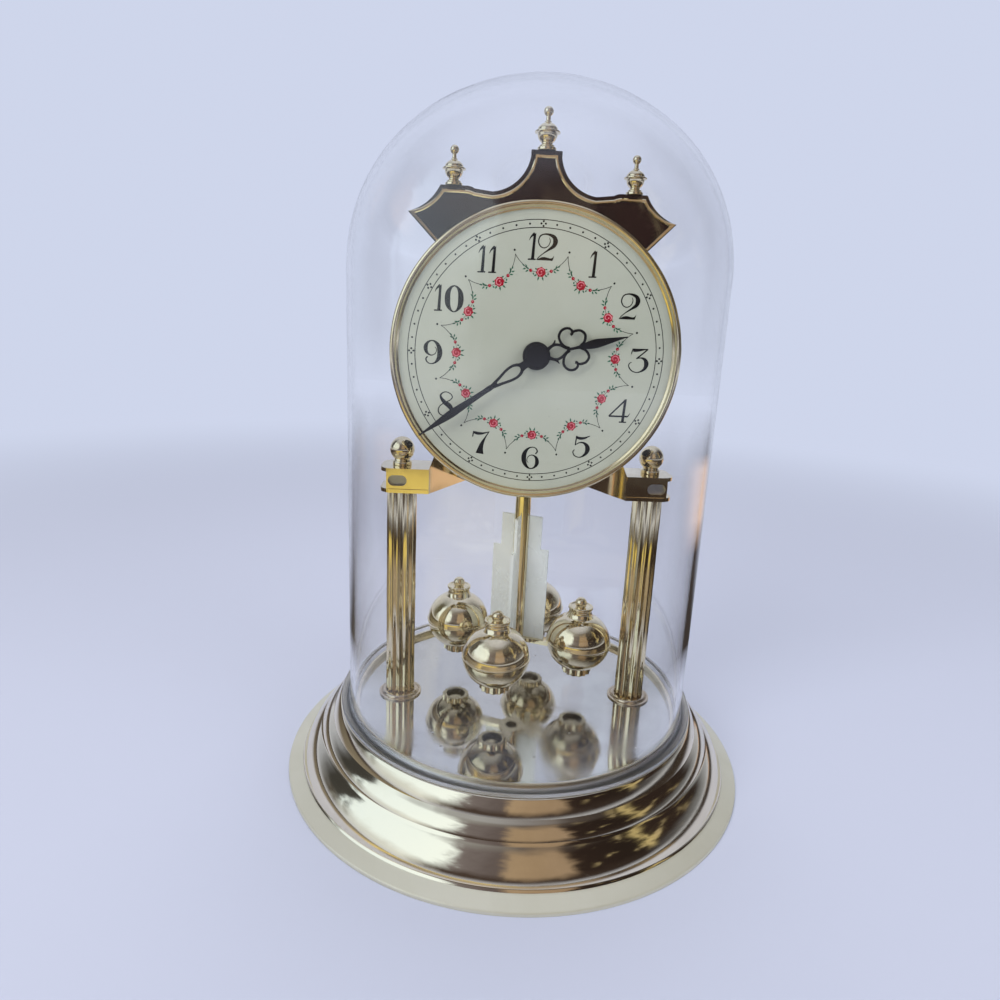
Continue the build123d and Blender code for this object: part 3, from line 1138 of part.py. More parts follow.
def movement_housing():
    """Open tray with a threaded bush, battery bay, pillars, pegs and posts."""
    outer = fillet(Rectangle(HOUSING_SIZE, HOUSING_SIZE).vertices(), HOUSING_CORNER)
    inner = fillet(
        Rectangle(HOUSING_SIZE - 2 * HOUSING_WALL, HOUSING_SIZE - 2 * HOUSING_WALL).vertices(),
        HOUSING_CORNER - HOUSING_WALL,
    )
    floor = layer(HOUSING_WALL)
    tray = Pos(0, 0, COVER_FRONT) * extrude(outer, HOUSING_DEPTH)
    tray -= Pos(0, 0, COVER_FRONT - OVERRUN) * extrude(inner, HOUSING_DEPTH - HOUSING_WALL + OVERRUN)
    tray += bar(BUSH_RADIUS, floor, BUSH_FRONT)
    tray -= bar(HOUR_TUBE_RADIUS + RUNNING_FIT, 0, BUSH_FRONT + OVERRUN)
    bay_width = HOUSING_SIZE - 2 * HOUSING_WALL
    wall = Box(bay_width, BAY_WALL, HOUSING_DEPTH - HOUSING_WALL, align=(Align.CENTER, Align.MIN, Align.MIN))
    tray += Pos(0, BAY_BOTTOM, COVER_FRONT) * wall
    for x, y in pillar_places():
        pillar = bar(PILLAR_RADIUS, layer(MID_PLATE_LAYER), floor)
        tray += Pos(x, y) * (pillar - bar(PLATE_SCREW_RADIUS, layer(MID_PLATE_LAYER), layer(HOUR_LAYER)))
    tray += Pos(*MOTION_AT) * bar(MOTION_POST_RADIUS, back_of(MOTION_LAYER, PINION_THICKNESS), floor)
    for x, y in board_peg_places():
        tray += Pos(x, y) * bar(BOARD_PEG_RADIUS, layer(REAR_PLATE_LAYER), floor)
    tray += Pos(*drive_coil_place()) * bar(DRIVE_CORE_RADIUS, layer(DRIVE_COIL_REAR), floor)
    thread = COVER_FRONT + COVER_SCREW_LENGTH - COVER_THICKNESS
    for x, y in cover_post_places():
        post = bar(COVER_POST_RADIUS, COVER_FRONT, floor) - bar(COVER_SCREW_RADIUS, COVER_FRONT, thread)
        tray += Pos(x, y) * post
    tray = DIAL_FRAME * tray
    hole_top = HOUSING_BOTTOM + HOUSING_WALL + OVERRUN
    spindle_hole = bar(SPINDLE_RADIUS + SPINDLE_FIT, HOUSING_BOTTOM - OVERRUN, hole_top)
    return tray - Pos(0, PENDULUM_Y) * spindle_hole


def door_plan(fit):
    """Plan of the battery door, grown by a fit."""
    width = DOOR_WIDTH + 2 * fit
    height = DOOR_HEIGHT + 2 * fit
    return Pos(0, BATTERY_RISE) * fillet(Rectangle(width, height).vertices(), COVER_POST_RADIUS)


def movement_cover():
    """Rear cover with the battery opening and a bearing for the rotor."""
    outer = housing_plan()
    outer -= door_plan(DOOR_FIT)
    outer -= Pos(*SETTING_AT) * Circle(SETTING_ARBOR_RADIUS + RUNNING_FIT)
    for x, y in cover_post_places():
        outer -= Pos(x, y) * Circle(COVER_SCREW_RADIUS + SCREW_FIT)
    cover = Pos(0, 0, COVER_FRONT - COVER_THICKNESS) * extrude(outer, COVER_THICKNESS)
    boss_front = layer(ROTOR_PIVOT_LAYER) + THIN_ARBOR_RADIUS
    boss = bar(2 * THIN_ARBOR_RADIUS, COVER_FRONT, boss_front)
    pivot_end = layer(ROTOR_PIVOT_LAYER) - RUNNING_FIT
    boss -= bar(THIN_ARBOR_RADIUS + RUNNING_FIT, pivot_end, boss_front + OVERRUN)
    return DIAL_FRAME * (cover + Pos(*ROTOR_AT) * boss)


def cover_screw():
    """Screw at a corner of the cover."""
    outside = COVER_FRONT - COVER_THICKNESS
    head = bar(COVER_SCREW_HEAD_RADIUS, outside - COVER_SCREW_HEAD_HEIGHT, outside)
    return head + bar(COVER_SCREW_RADIUS, outside, outside + COVER_SCREW_LENGTH - SCREW_FIT)


def battery_door():
    """Lift-off door over the battery, with ribs to grip it by."""
    outside = COVER_FRONT - COVER_THICKNESS
    door = Pos(0, 0, outside) * extrude(door_plan(0), COVER_THICKNESS)
    for step in range(DOOR_GRIP_COUNT):
        x = (step - (DOOR_GRIP_COUNT - 1) / 2) * DOOR_GRIP_PITCH
        rib = Box(DOOR_GRIP_WIDTH, DOOR_GRIP_LENGTH, 2 * DOOR_GRIP_DEPTH)
        door += Pos(x, BATTERY_RISE, outside) * rib
    return DIAL_FRAME * door


def battery():
    """Round dry cell lying across the housing."""
    can = bar(BATTERY_RADIUS, -BATTERY_LENGTH / 2, BATTERY_LENGTH / 2)
    can += bar(BATTERY_NUB_RADIUS, BATTERY_LENGTH / 2, BATTERY_LENGTH / 2 + BATTERY_NUB_LENGTH)
    return DIAL_FRAME * Pos(0, BATTERY_RISE, BATTERY_LAYER) * Rot(0, 90, 0) * can


def positive_contact():
    """Flat contact at the battery's nub."""
    inside = HOUSING_SIZE / 2 - HOUSING_WALL
    start = BATTERY_LENGTH / 2 + BATTERY_NUB_LENGTH
    strip = Box(inside - start, CONTACT_HEIGHT, CONTACT_WIDTH, align=(Align.MIN, Align.CENTER, Align.CENTER))
    return DIAL_FRAME * Pos(start, BATTERY_RISE, BATTERY_LAYER) * strip


def negative_contact():
    """Bowed leaf spring at the battery's flat end."""
    inside = HOUSING_SIZE / 2 - HOUSING_WALL
    half = CONTACT_HEIGHT / 2
    bow_top = inside - BATTERY_LENGTH / 2
    outer = ThreePointArc((-half, CONTACT_THICKNESS), (0, bow_top), (half, CONTACT_THICKNESS))
    inner = ThreePointArc((-half, 0), (0, bow_top - CONTACT_THICKNESS), (half, 0))
    ends = [Line((side * half, 0), (side * half, CONTACT_THICKNESS)) for side in (-1, 1)]
    leaf = extrude(make_face([outer, inner] + ends), CONTACT_WIDTH / 2, both=True)
    place = Pos(-inside, BATTERY_RISE, BATTERY_LAYER) * Rot(0, 0, -90)
    return DIAL_FRAME * place * leaf


def bush_nut():
    """Round nut that clamps dial and case to the movement."""
    nut = bar(BUSH_NUT_RADIUS, DIAL_FORWARD, DIAL_FORWARD + BUSH_NUT_THICKNESS)
    return DIAL_FRAME * (nut - bar(BUSH_RADIUS + BUSH_FIT, 0, BUSH_FRONT + OVERRUN))


def spindle_heights():
    """Top and hook heights of the pendulum's spindle."""
    collar_bottom = HOUSING_BOTTOM + HOUSING_WALL + COLLAR_GAP
    top = collar_bottom + COLLAR_THICKNESS + MAGNET_HEIGHT
    hook_centre = HOUSING_BOTTOM - HOOK_DROP - HOOK_RADIUS
    return collar_bottom, top, hook_centre


def pendulum_spindle():
    """Spindle with a thrust collar in the housing and a ring hook below it."""
    collar_bottom, top, hook_centre = spindle_heights()
    body = bar(SPINDLE_RADIUS, hook_centre + HOOK_RADIUS, top)
    body += bar(COLLAR_RADIUS, collar_bottom, collar_bottom + COLLAR_THICKNESS)
    body += Pos(0, 0, hook_centre) * Rot(90, 0, 0) * Torus(HOOK_RADIUS, HOOK_WIRE)
    return Pos(0, PENDULUM_Y) * body


def spindle_magnet():
    """Bar magnet across the spindle's top."""
    collar_bottom, top, hook_centre = spindle_heights()
    bottom = collar_bottom + COLLAR_THICKNESS
    magnet = extrude(Rectangle(MAGNET_LENGTH, MAGNET_WIDTH), MAGNET_HEIGHT)
    spindle = bar(SPINDLE_RADIUS, bottom - OVERRUN, top + OVERRUN)
    return Pos(0, PENDULUM_Y) * (Pos(0, 0, bottom) * magnet - spindle)


def eye_centre():
    """Height of the middle of the pendulum's eye, which hangs in the hook."""
    hook_centre = spindle_heights()[2]
    return hook_centre - 2 * HOOK_RADIUS + 2 * HOOK_WIRE + LINK_GAP


def tube_top():
    """Upper end of the pendulum's tube, under its cap."""
    return eye_centre() - HOOK_RADIUS - TUBE_CAP_HEIGHT


def pendulum_cap():
    """Cap of the tube, with the eye that hangs in the hook."""
    top = tube_top()
    cap = bar(TUBE_RADIUS + TUBE_CAP_LIP, top, top + TUBE_CAP_HEIGHT)
    eye = Pos(0, 0, eye_centre()) * Rot(0, 90, 0) * Torus(HOOK_RADIUS, HOOK_WIRE)
    return Pos(0, PENDULUM_Y) * (cap + eye)


def turned(piece):
    """A piece of the pendulum, at the angle of rest."""
    return Pos(0, PENDULUM_Y) * Rot(0, 0, -PENDULUM_TURN) * piece


def pendulum_tube():
    """Central tube of the pendulum, slit for the vanes."""
    bottom = CARRIER_TOP - CARRIER_THICKNESS
    inside = bar(TUBE_RADIUS - TUBE_WALL, bottom - OVERRUN, tube_top() + OVERRUN)
    return Pos(0, PENDULUM_Y) * (bar(TUBE_RADIUS, bottom, tube_top()) - inside)


def pendulum_vane():
    """Stepped sheet that stands out from the tube along +X."""
    outline = Polyline(
        (TUBE_RADIUS, CARRIER_TOP), (VANE_LOWER_REACH, CARRIER_TOP), (VANE_LOWER_REACH, VANE_STEP),
        (VANE_UPPER_REACH, VANE_STEP), (VANE_UPPER_REACH, VANE_TOP), (TUBE_RADIUS, VANE_TOP),
        (TUBE_RADIUS, CARRIER_TOP),
    )
    sheet = extrude(Plane.XZ * make_face(outline), VANE_THICKNESS / 2, both=True)
    return sheet - bar(TUBE_RADIUS, CARRIER_TOP - OVERRUN, VANE_TOP + OVERRUN)


def quarter_turns():
    """The four directions of the pendulum's cross."""
    return [Rot(0, 0, FULL_TURN * turn / BALL_COUNT) for turn in range(BALL_COUNT)]


def ball_carrier():
    """Flat cross below the vanes, whose arms plug into the balls."""
    top = CARRIER_TOP
    bottom = top - CARRIER_THICKNESS
    inner_reach = BALL_ORBIT - BALL_RADIUS + CARRIER_SOCKET_DEPTH
    hub = bar(CARRIER_HUB_RADIUS, bottom, top) - bar(TUBE_RADIUS + ROD_FIT, bottom - OVERRUN, top + OVERRUN)
    arm_start = TUBE_RADIUS + ROD_FIT + TUBE_WALL
    arm = Pos(arm_start, 0, bottom) * Box(
        inner_reach - arm_start, CARRIER_WIDTH, CARRIER_THICKNESS, align=(Align.MIN, Align.CENTER, Align.MIN)
    )
    for turn in quarter_turns():
        hub += turn * arm
    return turned(hub)


def pendulum_ball():
    """Ball with a seam band, drawn on the pendulum's +X arm."""
    ball = Sphere(BALL_RADIUS) + extrude(Circle(BALL_RADIUS + SEAM_RISE), SEAM_WIDTH / 2, both=True)
    socket_z = -CARRIER_DROP - CARRIER_THICKNESS / 2
    socket_depth = CARRIER_SOCKET_DEPTH + ROD_FIT
    socket = Box(2 * socket_depth, CARRIER_WIDTH + ROD_FIT, CARRIER_THICKNESS + ROD_FIT)
    ball -= Pos(-BALL_RADIUS, 0, socket_z) * socket
    return Pos(BALL_ORBIT, 0, BALL_HEIGHT) * ball


def seat_height(radius):
    """Height above a ball's middle where a ring of some radius sits on it."""
    return math.sqrt(BALL_RADIUS**2 - radius**2)


def ball_collar():
    """Dished collar on top of a ball."""
    seat = seat_height(BALL_COLLAR_RADIUS - BALL_COLLAR_RIM)
    top = seat + BALL_COLLAR_HEIGHT
    floor = top - BALL_COLLAR_RIM
    inner = BALL_COLLAR_RADIUS - BALL_COLLAR_RIM
    profile = Polyline(
        (0, seat), (inner, seat), (inner, floor - BALL_COLLAR_RIM), (BALL_COLLAR_RADIUS, floor),
        (BALL_COLLAR_RADIUS, top), (inner, top), (inner, floor), (0, floor), (0, seat),
    )
    return Pos(BALL_ORBIT, 0, BALL_HEIGHT) * (lathe([profile]) - Sphere(BALL_RADIUS))


def ball_nub():
    """Round nub that stands in the collar's dish."""
    floor = seat_height(BALL_COLLAR_RADIUS - BALL_COLLAR_RIM) + BALL_COLLAR_HEIGHT - BALL_COLLAR_RIM
    shoulder = floor + BALL_NUB_STEM
    profile = [
        Polyline((0, floor), (BALL_NUB_RADIUS, floor), (BALL_NUB_RADIUS, shoulder)),
        ThreePointArc(
            (BALL_NUB_RADIUS, shoulder),
            (BALL_NUB_RADIUS * math.sqrt(0.5), shoulder + BALL_NUB_RADIUS * math.sqrt(0.5)),
            (0, shoulder + BALL_NUB_RADIUS),
        ),
        Line((0, shoulder + BALL_NUB_RADIUS), (0, floor)),
    ]
    return Pos(BALL_ORBIT, 0, BALL_HEIGHT) * lathe(profile)


def ball_foot():
    """Fluted ring under a ball."""
    seat = seat_height(BALL_FOOT_RADIUS)
    reach = BALL_FOOT_RADIUS + BALL_FOOT_FLUTE_RADIUS / 2
    flutes = PolarLocations(reach, BALL_FOOT_FLUTES) * Circle(BALL_FOOT_FLUTE_RADIUS)
    section = Circle(BALL_FOOT_RADIUS) - flutes
    body = Pos(0, 0, -seat - BALL_FOOT_HEIGHT) * extrude(section, BALL_FOOT_HEIGHT)
    return Pos(BALL_ORBIT, 0, BALL_HEIGHT) * (body - Sphere(BALL_RADIUS))


def cross_of(piece):
    """Four copies of a piece on the pendulum's arms."""
    return grouped(turned(turn * piece) for turn in quarter_turns())


def all_nodes():
    """Every node of the clock by name."""
    places = column_places()
    return {
        "base_shell": base_shell(),
        "mirror_plate": mirror_plate(),
        "dome": dome(),
        "left_column": places[0] * column(),
        "right_column": places[1] * column(),
        "column_flanges": grouped(place * column_flange() for place in places),
        "tie_rods": grouped(place * bar(ROD_RADIUS, ROD_BOTTOM, ROD_TOP) for place in places),
        "rod_nuts": grouped(place * rod_nut() for place in places),
        "rod_washers": grouped(place * rod_washer() for place in places),
        "ball_finials": grouped(place * ball_finial() for place in places),
        "bridge": bridge(),
        "case_screws": grouped(place * case_screw() for place in case_screw_places()),
        "dial_case": dial_case(),
        "dial": dial(),
        "bezel": bezel(),
        "crown": crown(),
        "crown_screws": grouped(DIAL_FRAME * place * crown_screw() for place in crown_screw_places()),
        "crown_finials": crown_finials(),
        "hour_hand": hour_hand(),
        "minute_hand": minute_hand(),
        "movement_housing": movement_housing(),
        "movement_cover": movement_cover(),
        "cover_screws": grouped(DIAL_FRAME * Pos(x, y) * cover_screw() for x, y in cover_post_places()),
        "battery_door": battery_door(),
        "battery": battery(),
        "positive_contact": positive_contact(),
        "negative_contact": negative_contact(),
        "bush_nut": bush_nut(),
        "hour_wheel": hour_wheel(),
        "centre_wheel": centre_wheel(),
        "motion_wheel": motion_wheel(),
        "transfer_wheel": transfer_wheel(),
        "rotor": rotor(),
        "setting_knob": setting_knob(),
        "front_gear_plate": mid_plate(),
        "rear_gear_plate": rear_plate(),
        "plate_screws": grouped(DIAL_FRAME * Pos(x, y) * plate_screw() for x, y in pillar_places()),
        "stator": stator(),
        "motor_coil": motor_coil(),
        "circuit_board": circuit_board(),
        "chip": chip(),
        "quartz_crystal": quartz_crystal(),
        "drive_coil": drive_coil(),
        "pendulum_spindle": pendulum_spindle(),
        "spindle_magnet": spindle_magnet(),
        "pendulum_cap": pendulum_cap(),
        "pendulum_tube": pendulum_tube(),
        "pendulum_vanes": cross_of(pendulum_vane()),
        "ball_carrier": ball_carrier(),
        "pendulum_balls": cross_of(pendulum_ball()),
        "ball_collars": cross_of(ball_collar()),
        "ball_nubs": cross_of(ball_nub()),
        "ball_feet": cross_of(ball_foot()),
    }


os.makedirs("parts", exist_ok=True)
for name, shape in all_nodes().items():
    export_step(shape, f"parts/{name}.step")
    print(name, len(shape.solids()), round(shape.volume, 2))
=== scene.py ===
import logging
import math
from collections.abc import Sequence
from dataclasses import dataclass, field
from enum import Enum

import bpy
import numpy as np
from mathutils import Matrix


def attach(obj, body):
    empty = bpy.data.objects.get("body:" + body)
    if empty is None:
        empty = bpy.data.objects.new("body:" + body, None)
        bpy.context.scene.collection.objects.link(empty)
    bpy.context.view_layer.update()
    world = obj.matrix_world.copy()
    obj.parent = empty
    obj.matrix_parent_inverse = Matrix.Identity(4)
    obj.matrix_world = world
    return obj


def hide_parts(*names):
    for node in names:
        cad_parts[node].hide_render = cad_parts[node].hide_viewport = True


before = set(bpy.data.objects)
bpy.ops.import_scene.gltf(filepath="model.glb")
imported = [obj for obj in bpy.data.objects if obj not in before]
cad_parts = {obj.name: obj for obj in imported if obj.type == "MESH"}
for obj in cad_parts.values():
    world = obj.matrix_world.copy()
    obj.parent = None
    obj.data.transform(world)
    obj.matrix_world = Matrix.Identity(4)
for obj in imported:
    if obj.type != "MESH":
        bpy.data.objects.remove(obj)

# Quartz desk clock with a turning pendulum under a clear dome. Sizes are in millimetres, the
# clock faces -Y and stands on z = 0, with the middle of its foot at the origin.

MM = 0.001
TURN = 2 * math.pi
DIAL_HEIGHT = 148.2
DIAL_FACE = 12.9
COLUMN_X = 43.2
COLUMN_Y = -2.1
SIDES = (-1, 1)

# Least distance between two corners, least length that is divided by, sharpest corner that an
# offset follows, widest slope as a share of a bar, and least width of a stroke
SAME_PLACE = 1e-5
TINY = 1e-9
SHARPEST_CORNER = 0.4
WIDEST_SLOPE = 0.45
THINNEST = 0.01

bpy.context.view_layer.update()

Array = np.ndarray
Rows = Sequence[Sequence[float]]
Spot = tuple[float, float, float]

log = logging.getLogger("desk_clock")


class Body(Enum):
    """Moving bodies that the pieces ride on."""

    FRAME = "frame"
    DOME = "dome"
    HOUR = "hour_arbor"
    MINUTE = "minute_arbor"
    PENDULUM = "pendulum"


class Slot(Enum):
    """Material slots of the record."""

    BASE = "base_metal"
    GOLD = "gold_metal"
    DOME = "clear_dome"
    DIAL = "dial_paint"
    PANEL = "crown_panel"
    BLACK = "black_paint"


# Shapes


@dataclass
class Surface:
    """Closed skin of a piece.

    Attributes:
        points: Corner places, one row of x, y, z each.
        faces: Four corner numbers a face, with -1 in the last place of a three-sided one.
        marks: Number of the finish of each face.
    """

    points: Array
    faces: Array
    marks: Array | None = None

    def __post_init__(self) -> None:
        """Turns the skin outwards and gives every face the first finish."""
        if self.marks is None:
            self.marks = np.zeros(len(self.faces), dtype=np.int32)
            if self.volume() < 0:
                self.faces = flipped(self.faces)

    def volume(self) -> float:
        """Sum of a · (b × c) / 6 over the triangles, which is negative for a skin turned inside."""
        four = self.faces[self.faces[:, 3] >= 0]
        three = np.vstack([self.faces[:, :3], four[:, [0, 2, 3]]])
        a, b, c = (self.points[three[:, k]] for k in range(3))
        return float(np.einsum("ij,ij->", a, np.cross(b, c)) / 6)

    def centres(self) -> Array:
        """Middle of each face, as the mean of its first three corners."""
        return self.points[self.faces[:, :3]].mean(axis=1)

    def moved(self, x: float = 0, y: float = 0, z: float = 0) -> "Surface":
        """The same skin, shifted."""
        return Surface(self.points + (x, y, z), self.faces, self.marks)

    def turned(self, degrees: float, axis: str = "Z") -> "Surface":
        """The same skin, turned about an axis through the origin."""
        matrix = np.array(Matrix.Rotation(math.radians(degrees), 3, axis))
        return Surface(self.points @ matrix.T, self.faces, self.marks)

    def on_dial(self) -> "Surface":
        """Places a skin drawn in the dial's own frame: (x, y, z) goes to (x, -z, y + height)."""
        x, y, z = self.points.T
        return Surface(np.stack([x, -z, y + DIAL_HEIGHT], axis=1), self.faces, self.marks)

    def painted(self, chosen: Array | bool, mark: int) -> "Surface":
        """The same skin, with another finish on the chosen faces, or on all."""
        return Surface(self.points, self.faces, np.where(chosen, mark, self.marks).astype(np.int32))


def flipped(faces: Array) -> Array:
    """Faces with their corners in the opposite order."""
    three = faces[:, 3:] < 0
    return np.where(three, faces[:, [2, 1, 0, 3]], faces[:, ::-1])


def joined(parts: Sequence[Surface]) -> Surface:
    """One skin made of several.

    Args:
        parts: Skins that keep their own places and finishes.

    Returns:
        The skins together, with corner numbers shifted by the corners before them.
    """
    shifts = np.cumsum([0] + [len(part.points) for part in parts[:-1]])
    faces = [np.where(part.faces < 0, -1, part.faces + shift) for part, shift in zip(parts, shifts)]
    return Surface(
        np.vstack([part.points for part in parts]),
        np.vstack(faces),
        np.concatenate([part.marks for part in parts]),
    )


def distinct(points: Array, closed: bool) -> Array:
    """Drops each point that lies on the one before it.

    Args:
        points: Rows of x and y.
        closed: Whether the last point runs back to the first.

    Returns:
        The rows that are left.
    """
    step = np.linalg.norm(points - np.roll(points, 1, axis=0), axis=1)
    if not closed:
        step[0] = 1
    return points[step > SAME_PLACE]


@dataclass
class Outline:
    """Flat outline that is drawn run by run.

    Attributes:
        points: Corners so far, each an x and a y, or a radius and a height.
        radii: How far along its two sides each corner is rounded.
    """

    points: list[tuple[float, float]] = field(default_factory=list)
    radii: list[float] = field(default_factory=list)

    def to(self, x: float, y: float, radius: float = 0) -> "Outline":
        """Adds a straight run to a corner."""
        self.points.append((x, y))
        self.radii.append(radius)
        return self

    def arc(self, middle: tuple[float, float], end: tuple[float, float], steps: int = 18) -> "Outline":
        """Adds an arc through a middle point.

        The centre solves |p - c| = r for the three points, and the arc runs from the first
        angle to the last on the side where the middle lies.

        Args:
            middle: A point on the arc.
            end: The arc's last point.
            steps: How many runs the arc has.

        Returns:
            The outline itself.
        """
        start = np.array(self.points[-1])
        pair = np.array([middle, end]) - start
        centre = start + np.linalg.solve(2 * pair, (pair**2).sum(axis=1))
        angles = np.arctan2(*(np.array([start, middle, end]) - centre).T[::-1])
        through, whole = np.mod(angles[1:] - angles[0], TURN)
        if through > whole:
            whole -= TURN
        turn = angles[0] + whole * np.linspace(0, 1, steps + 1)[1:]
        radius = np.linalg.norm(start - centre)
        arc = centre + radius * np.stack([np.cos(turn), np.sin(turn)], axis=1)
        self.points.extend(map(tuple, arc))
        self.radii.extend([0] * steps)
        return self

    def drawn(self, closed: bool = True, steps: int = 5) -> Array:
        """Rounds the corners and gives the outline's points.

        A corner C becomes the curve (1-t)²A + 2t(1-t)C + t²B, where A and B lie on its two
        sides at the rounding's distance, or half a side away where the side is short.

        Args:
            closed: Whether the last point runs back to the first.
            steps: How many runs each rounding has.

        Returns:
            One row for each point.
        """
        corners = np.array(self.points, dtype=float)
        radii = np.array(self.radii, dtype=float)[:, None]
        legs = []
        for shift in (1, -1):
            side = np.roll(corners, shift, axis=0) - corners
            length = np.maximum(np.linalg.norm(side, axis=1, keepdims=True), TINY)
            legs.append((corners + side * np.minimum(radii / length, 0.5))[:, None])
        t = np.linspace(0, 1, steps + 1)[None, :, None]
        curve = (1 - t) ** 2 * legs[0] + 2 * t * (1 - t) * corners[:, None] + t**2 * legs[1]
        if not closed:
            curve[0], curve[-1] = corners[0], corners[-1]
        return distinct(curve.reshape(-1, 2), closed)


def flowing(knots: Array, steps: int) -> Array:
    """Smooth curve through knots.

    Between knots b and c, with a before and d after them, the point at share t is
    ((2b) + (c - a)t + (2a - 5b + 4c - d)t² + (3b - a - 3c + d)t³) / 2.

    Args:
        knots: One row for each knot, with any number of values.
        steps: How many runs each span has.

    Returns:
        One row for each point.
    """
    knots = np.asarray(knots, dtype=float)
    padded = np.vstack([2 * knots[0] - knots[1], knots, 2 * knots[-1] - knots[-2]])
    a, b, c, d = (padded[k:len(padded) - 3 + k, None] for k in range(4))
    t = np.linspace(0, 1, steps, endpoint=False)[None, :, None]
    curve = (2 * b + (c - a) * t + (2 * a - 5 * b + 4 * c - d) * t**2 + (3 * b - a - 3 * c + d) * t**3) / 2
    return np.vstack([curve.reshape(-1, knots.shape[1]), knots[-1]])


def woven(index: Array) -> Array:
    """Faces of a grid of corner numbers, each from (i, j) by (i, j + 1) and round to (i + 1, j)."""
    corners = [index[:-1, :-1], index[:-1, 1:], index[1:, 1:], index[1:, :-1]]
    return np.stack(corners, axis=-1).reshape(-1, 4)


def fan(ring: Array, tip: int) -> Array:
    """Three-sided faces from each side of a ring of corner numbers to a tip."""
    count = len(ring)
    return np.stack([ring, np.roll(ring, -1), np.full(count, tip), np.full(count, -1)], axis=1)


def tube(rings: Array, closed: bool = False, tips: Array | None = None) -> Surface:
    """Skin over a row of rings.

    Corner j of ring i is joined to corner j + 1 and to corner j of ring i + 1. Open ends are
    closed by a fan to a tip.

    Args:
        rings: Places in an array of rings, corners and x, y, z.
        closed: Whether the last ring is joined to the first.
        tips: Two points that the ends' fans meet in, or the middles of the end rings.

    Returns:
        The closed skin.
    """
    rows, columns = rings.shape[:2]
    index = np.arange(rows * columns).reshape(rows, columns)
    faces = woven(np.pad(index, ((0, int(closed)), (0, 1)), mode="wrap"))
    points = rings.reshape(-1, 3)
    if not closed:
        if tips is None:
            tips = np.stack([rings[0].mean(axis=0), rings[-1].mean(axis=0)])
        last = rows * columns
        faces = np.vstack([faces, fan(index[0][::-1], last), fan(index[-1], last + 1)])
        points = np.vstack([points, tips])
    return Surface(points, faces)


def sheet(places: Array, wrapped: bool = False, middle: Sequence[float] | None = None) -> Surface:
    """Open skin over a grid of places.

    Args:
        places: Places in an array of rows, columns and x, y, z.
        wrapped: Whether each row runs back to its start.
        middle: Point that a fan joins to the first row.

    Returns:
        The skin, as drawn and with one finish.
    """
    rows, columns = places.shape[:2]
    index = np.arange(rows * columns).reshape(rows, columns)
    faces = woven(np.pad(index, ((0, 0), (0, int(wrapped))), mode="wrap"))[:, [0, 3, 2, 1]]
    points = places.reshape(-1, 3)
    if middle is not None:
        faces = np.vstack([faces, fan(index[0], rows * columns)])
        points = np.vstack([points, middle])
    return Surface(points, faces, np.zeros(len(faces), dtype=np.int32))


def circled(radius: Array, angle: Array, height: Array | float) -> Array:
    """Places (r cos a, r sin a, h) in an array of rings, corners and x, y, z."""
    return np.stack(np.broadcast_arrays(radius * np.cos(angle), radius * np.sin(angle), height), axis=-1)


def lathe(
    profile: Array, sides: int, flutes: int = 0, depth: Array | float = 0, sharpness: float = 1
) -> Surface:
    """Turns a profile of radius r and height h round the Z axis.

    A point at angle a is (q cos a, q sin a, h) with q = r - depth · |cos(flutes · a / 2)|^(2/sharpness).
    A profile that starts and ends on the axis is closed there, and any other runs back to its start.

    Args:
        profile: One row of radius and height for each point.
        sides: How many steps there are round the axis.
        flutes: How many hollows are cut round the piece.
        depth: Depth of the hollows at each point of the profile.
        sharpness: How narrow the lands between the hollows are.

    Returns:
        The turned skin.
    """
    angle = np.linspace(0, TURN, sides, endpoint=False)
    poled = profile[0, 0] < TINY and profile[-1, 0] < TINY
    hollow = np.broadcast_to(np.asarray(depth, dtype=float), len(profile))
    used = slice(1, -1) if poled else slice(None)
    radius, height = profile[used, 0, None], profile[used, 1, None]
    if flutes:
        radius = radius - hollow[used, None] * np.abs(np.cos(flutes * angle / 2)) ** (2 / sharpness)
    tips = np.array([(0, 0, profile[0, 1]), (0, 0, profile[-1, 1])])
    return tube(circled(radius, angle, height), closed=not poled, tips=tips)


def sideways(path: Array) -> Array:
    """Normals to the left of an open flat path.

    Each is the unit normal n of the mean m of the two runs' directions, divided by m · d for
    the direction d of the run ahead, so that an offset keeps its width at a corner.

    Args:
        path: Rows of x and y.

    Returns:
        One row for each point of the path.
    """
    ahead = np.roll(path, -1, axis=0) - path
    ahead[-1] = ahead[-2]
    ahead /= np.maximum(np.linalg.norm(ahead, axis=1, keepdims=True), TINY)
    behind = np.roll(ahead, 1, axis=0)
    behind[0] = ahead[0]
    mean = ahead + behind
    mean /= np.maximum(np.linalg.norm(mean, axis=1, keepdims=True), TINY)
    mean /= np.maximum((mean * ahead).sum(axis=1, keepdims=True), SHARPEST_CORNER)
    return np.stack([-mean[:, 1], mean[:, 0]], axis=1)


def strip(left: Array, right: Array, back: float, front: float, edge: float = 0) -> Surface:
    """Flat bar between two rails in the dial's frame.

    Each ring holds a point of each rail at the back, the same points below the front, and the
    same points drawn in by the edge at the front.

    Args:
        left: Points of the left rail.
        right: Points of the right rail, as many.
        back: Height of the back face.
        front: Height of the front face.
        edge: Width and height of the slope along the front edges.

    Returns:
        The bar's skin.
    """
    across = right - left
    width = np.maximum(np.linalg.norm(across, axis=1, keepdims=True), TINY)
    inset = across * np.minimum(edge / width, WIDEST_SLOPE)
    rows = [(left, back), (left, front - edge), (left + inset, front)]
    rows += [(right - inset, front), (right, front - edge), (right, back)]
    if edge == 0:
        rows = [rows[0], rows[2], rows[3], rows[5]]
    rings = np.stack([np.column_stack([rail, np.full(len(rail), level)]) for rail, level in rows], axis=1)
    return tube(rings)


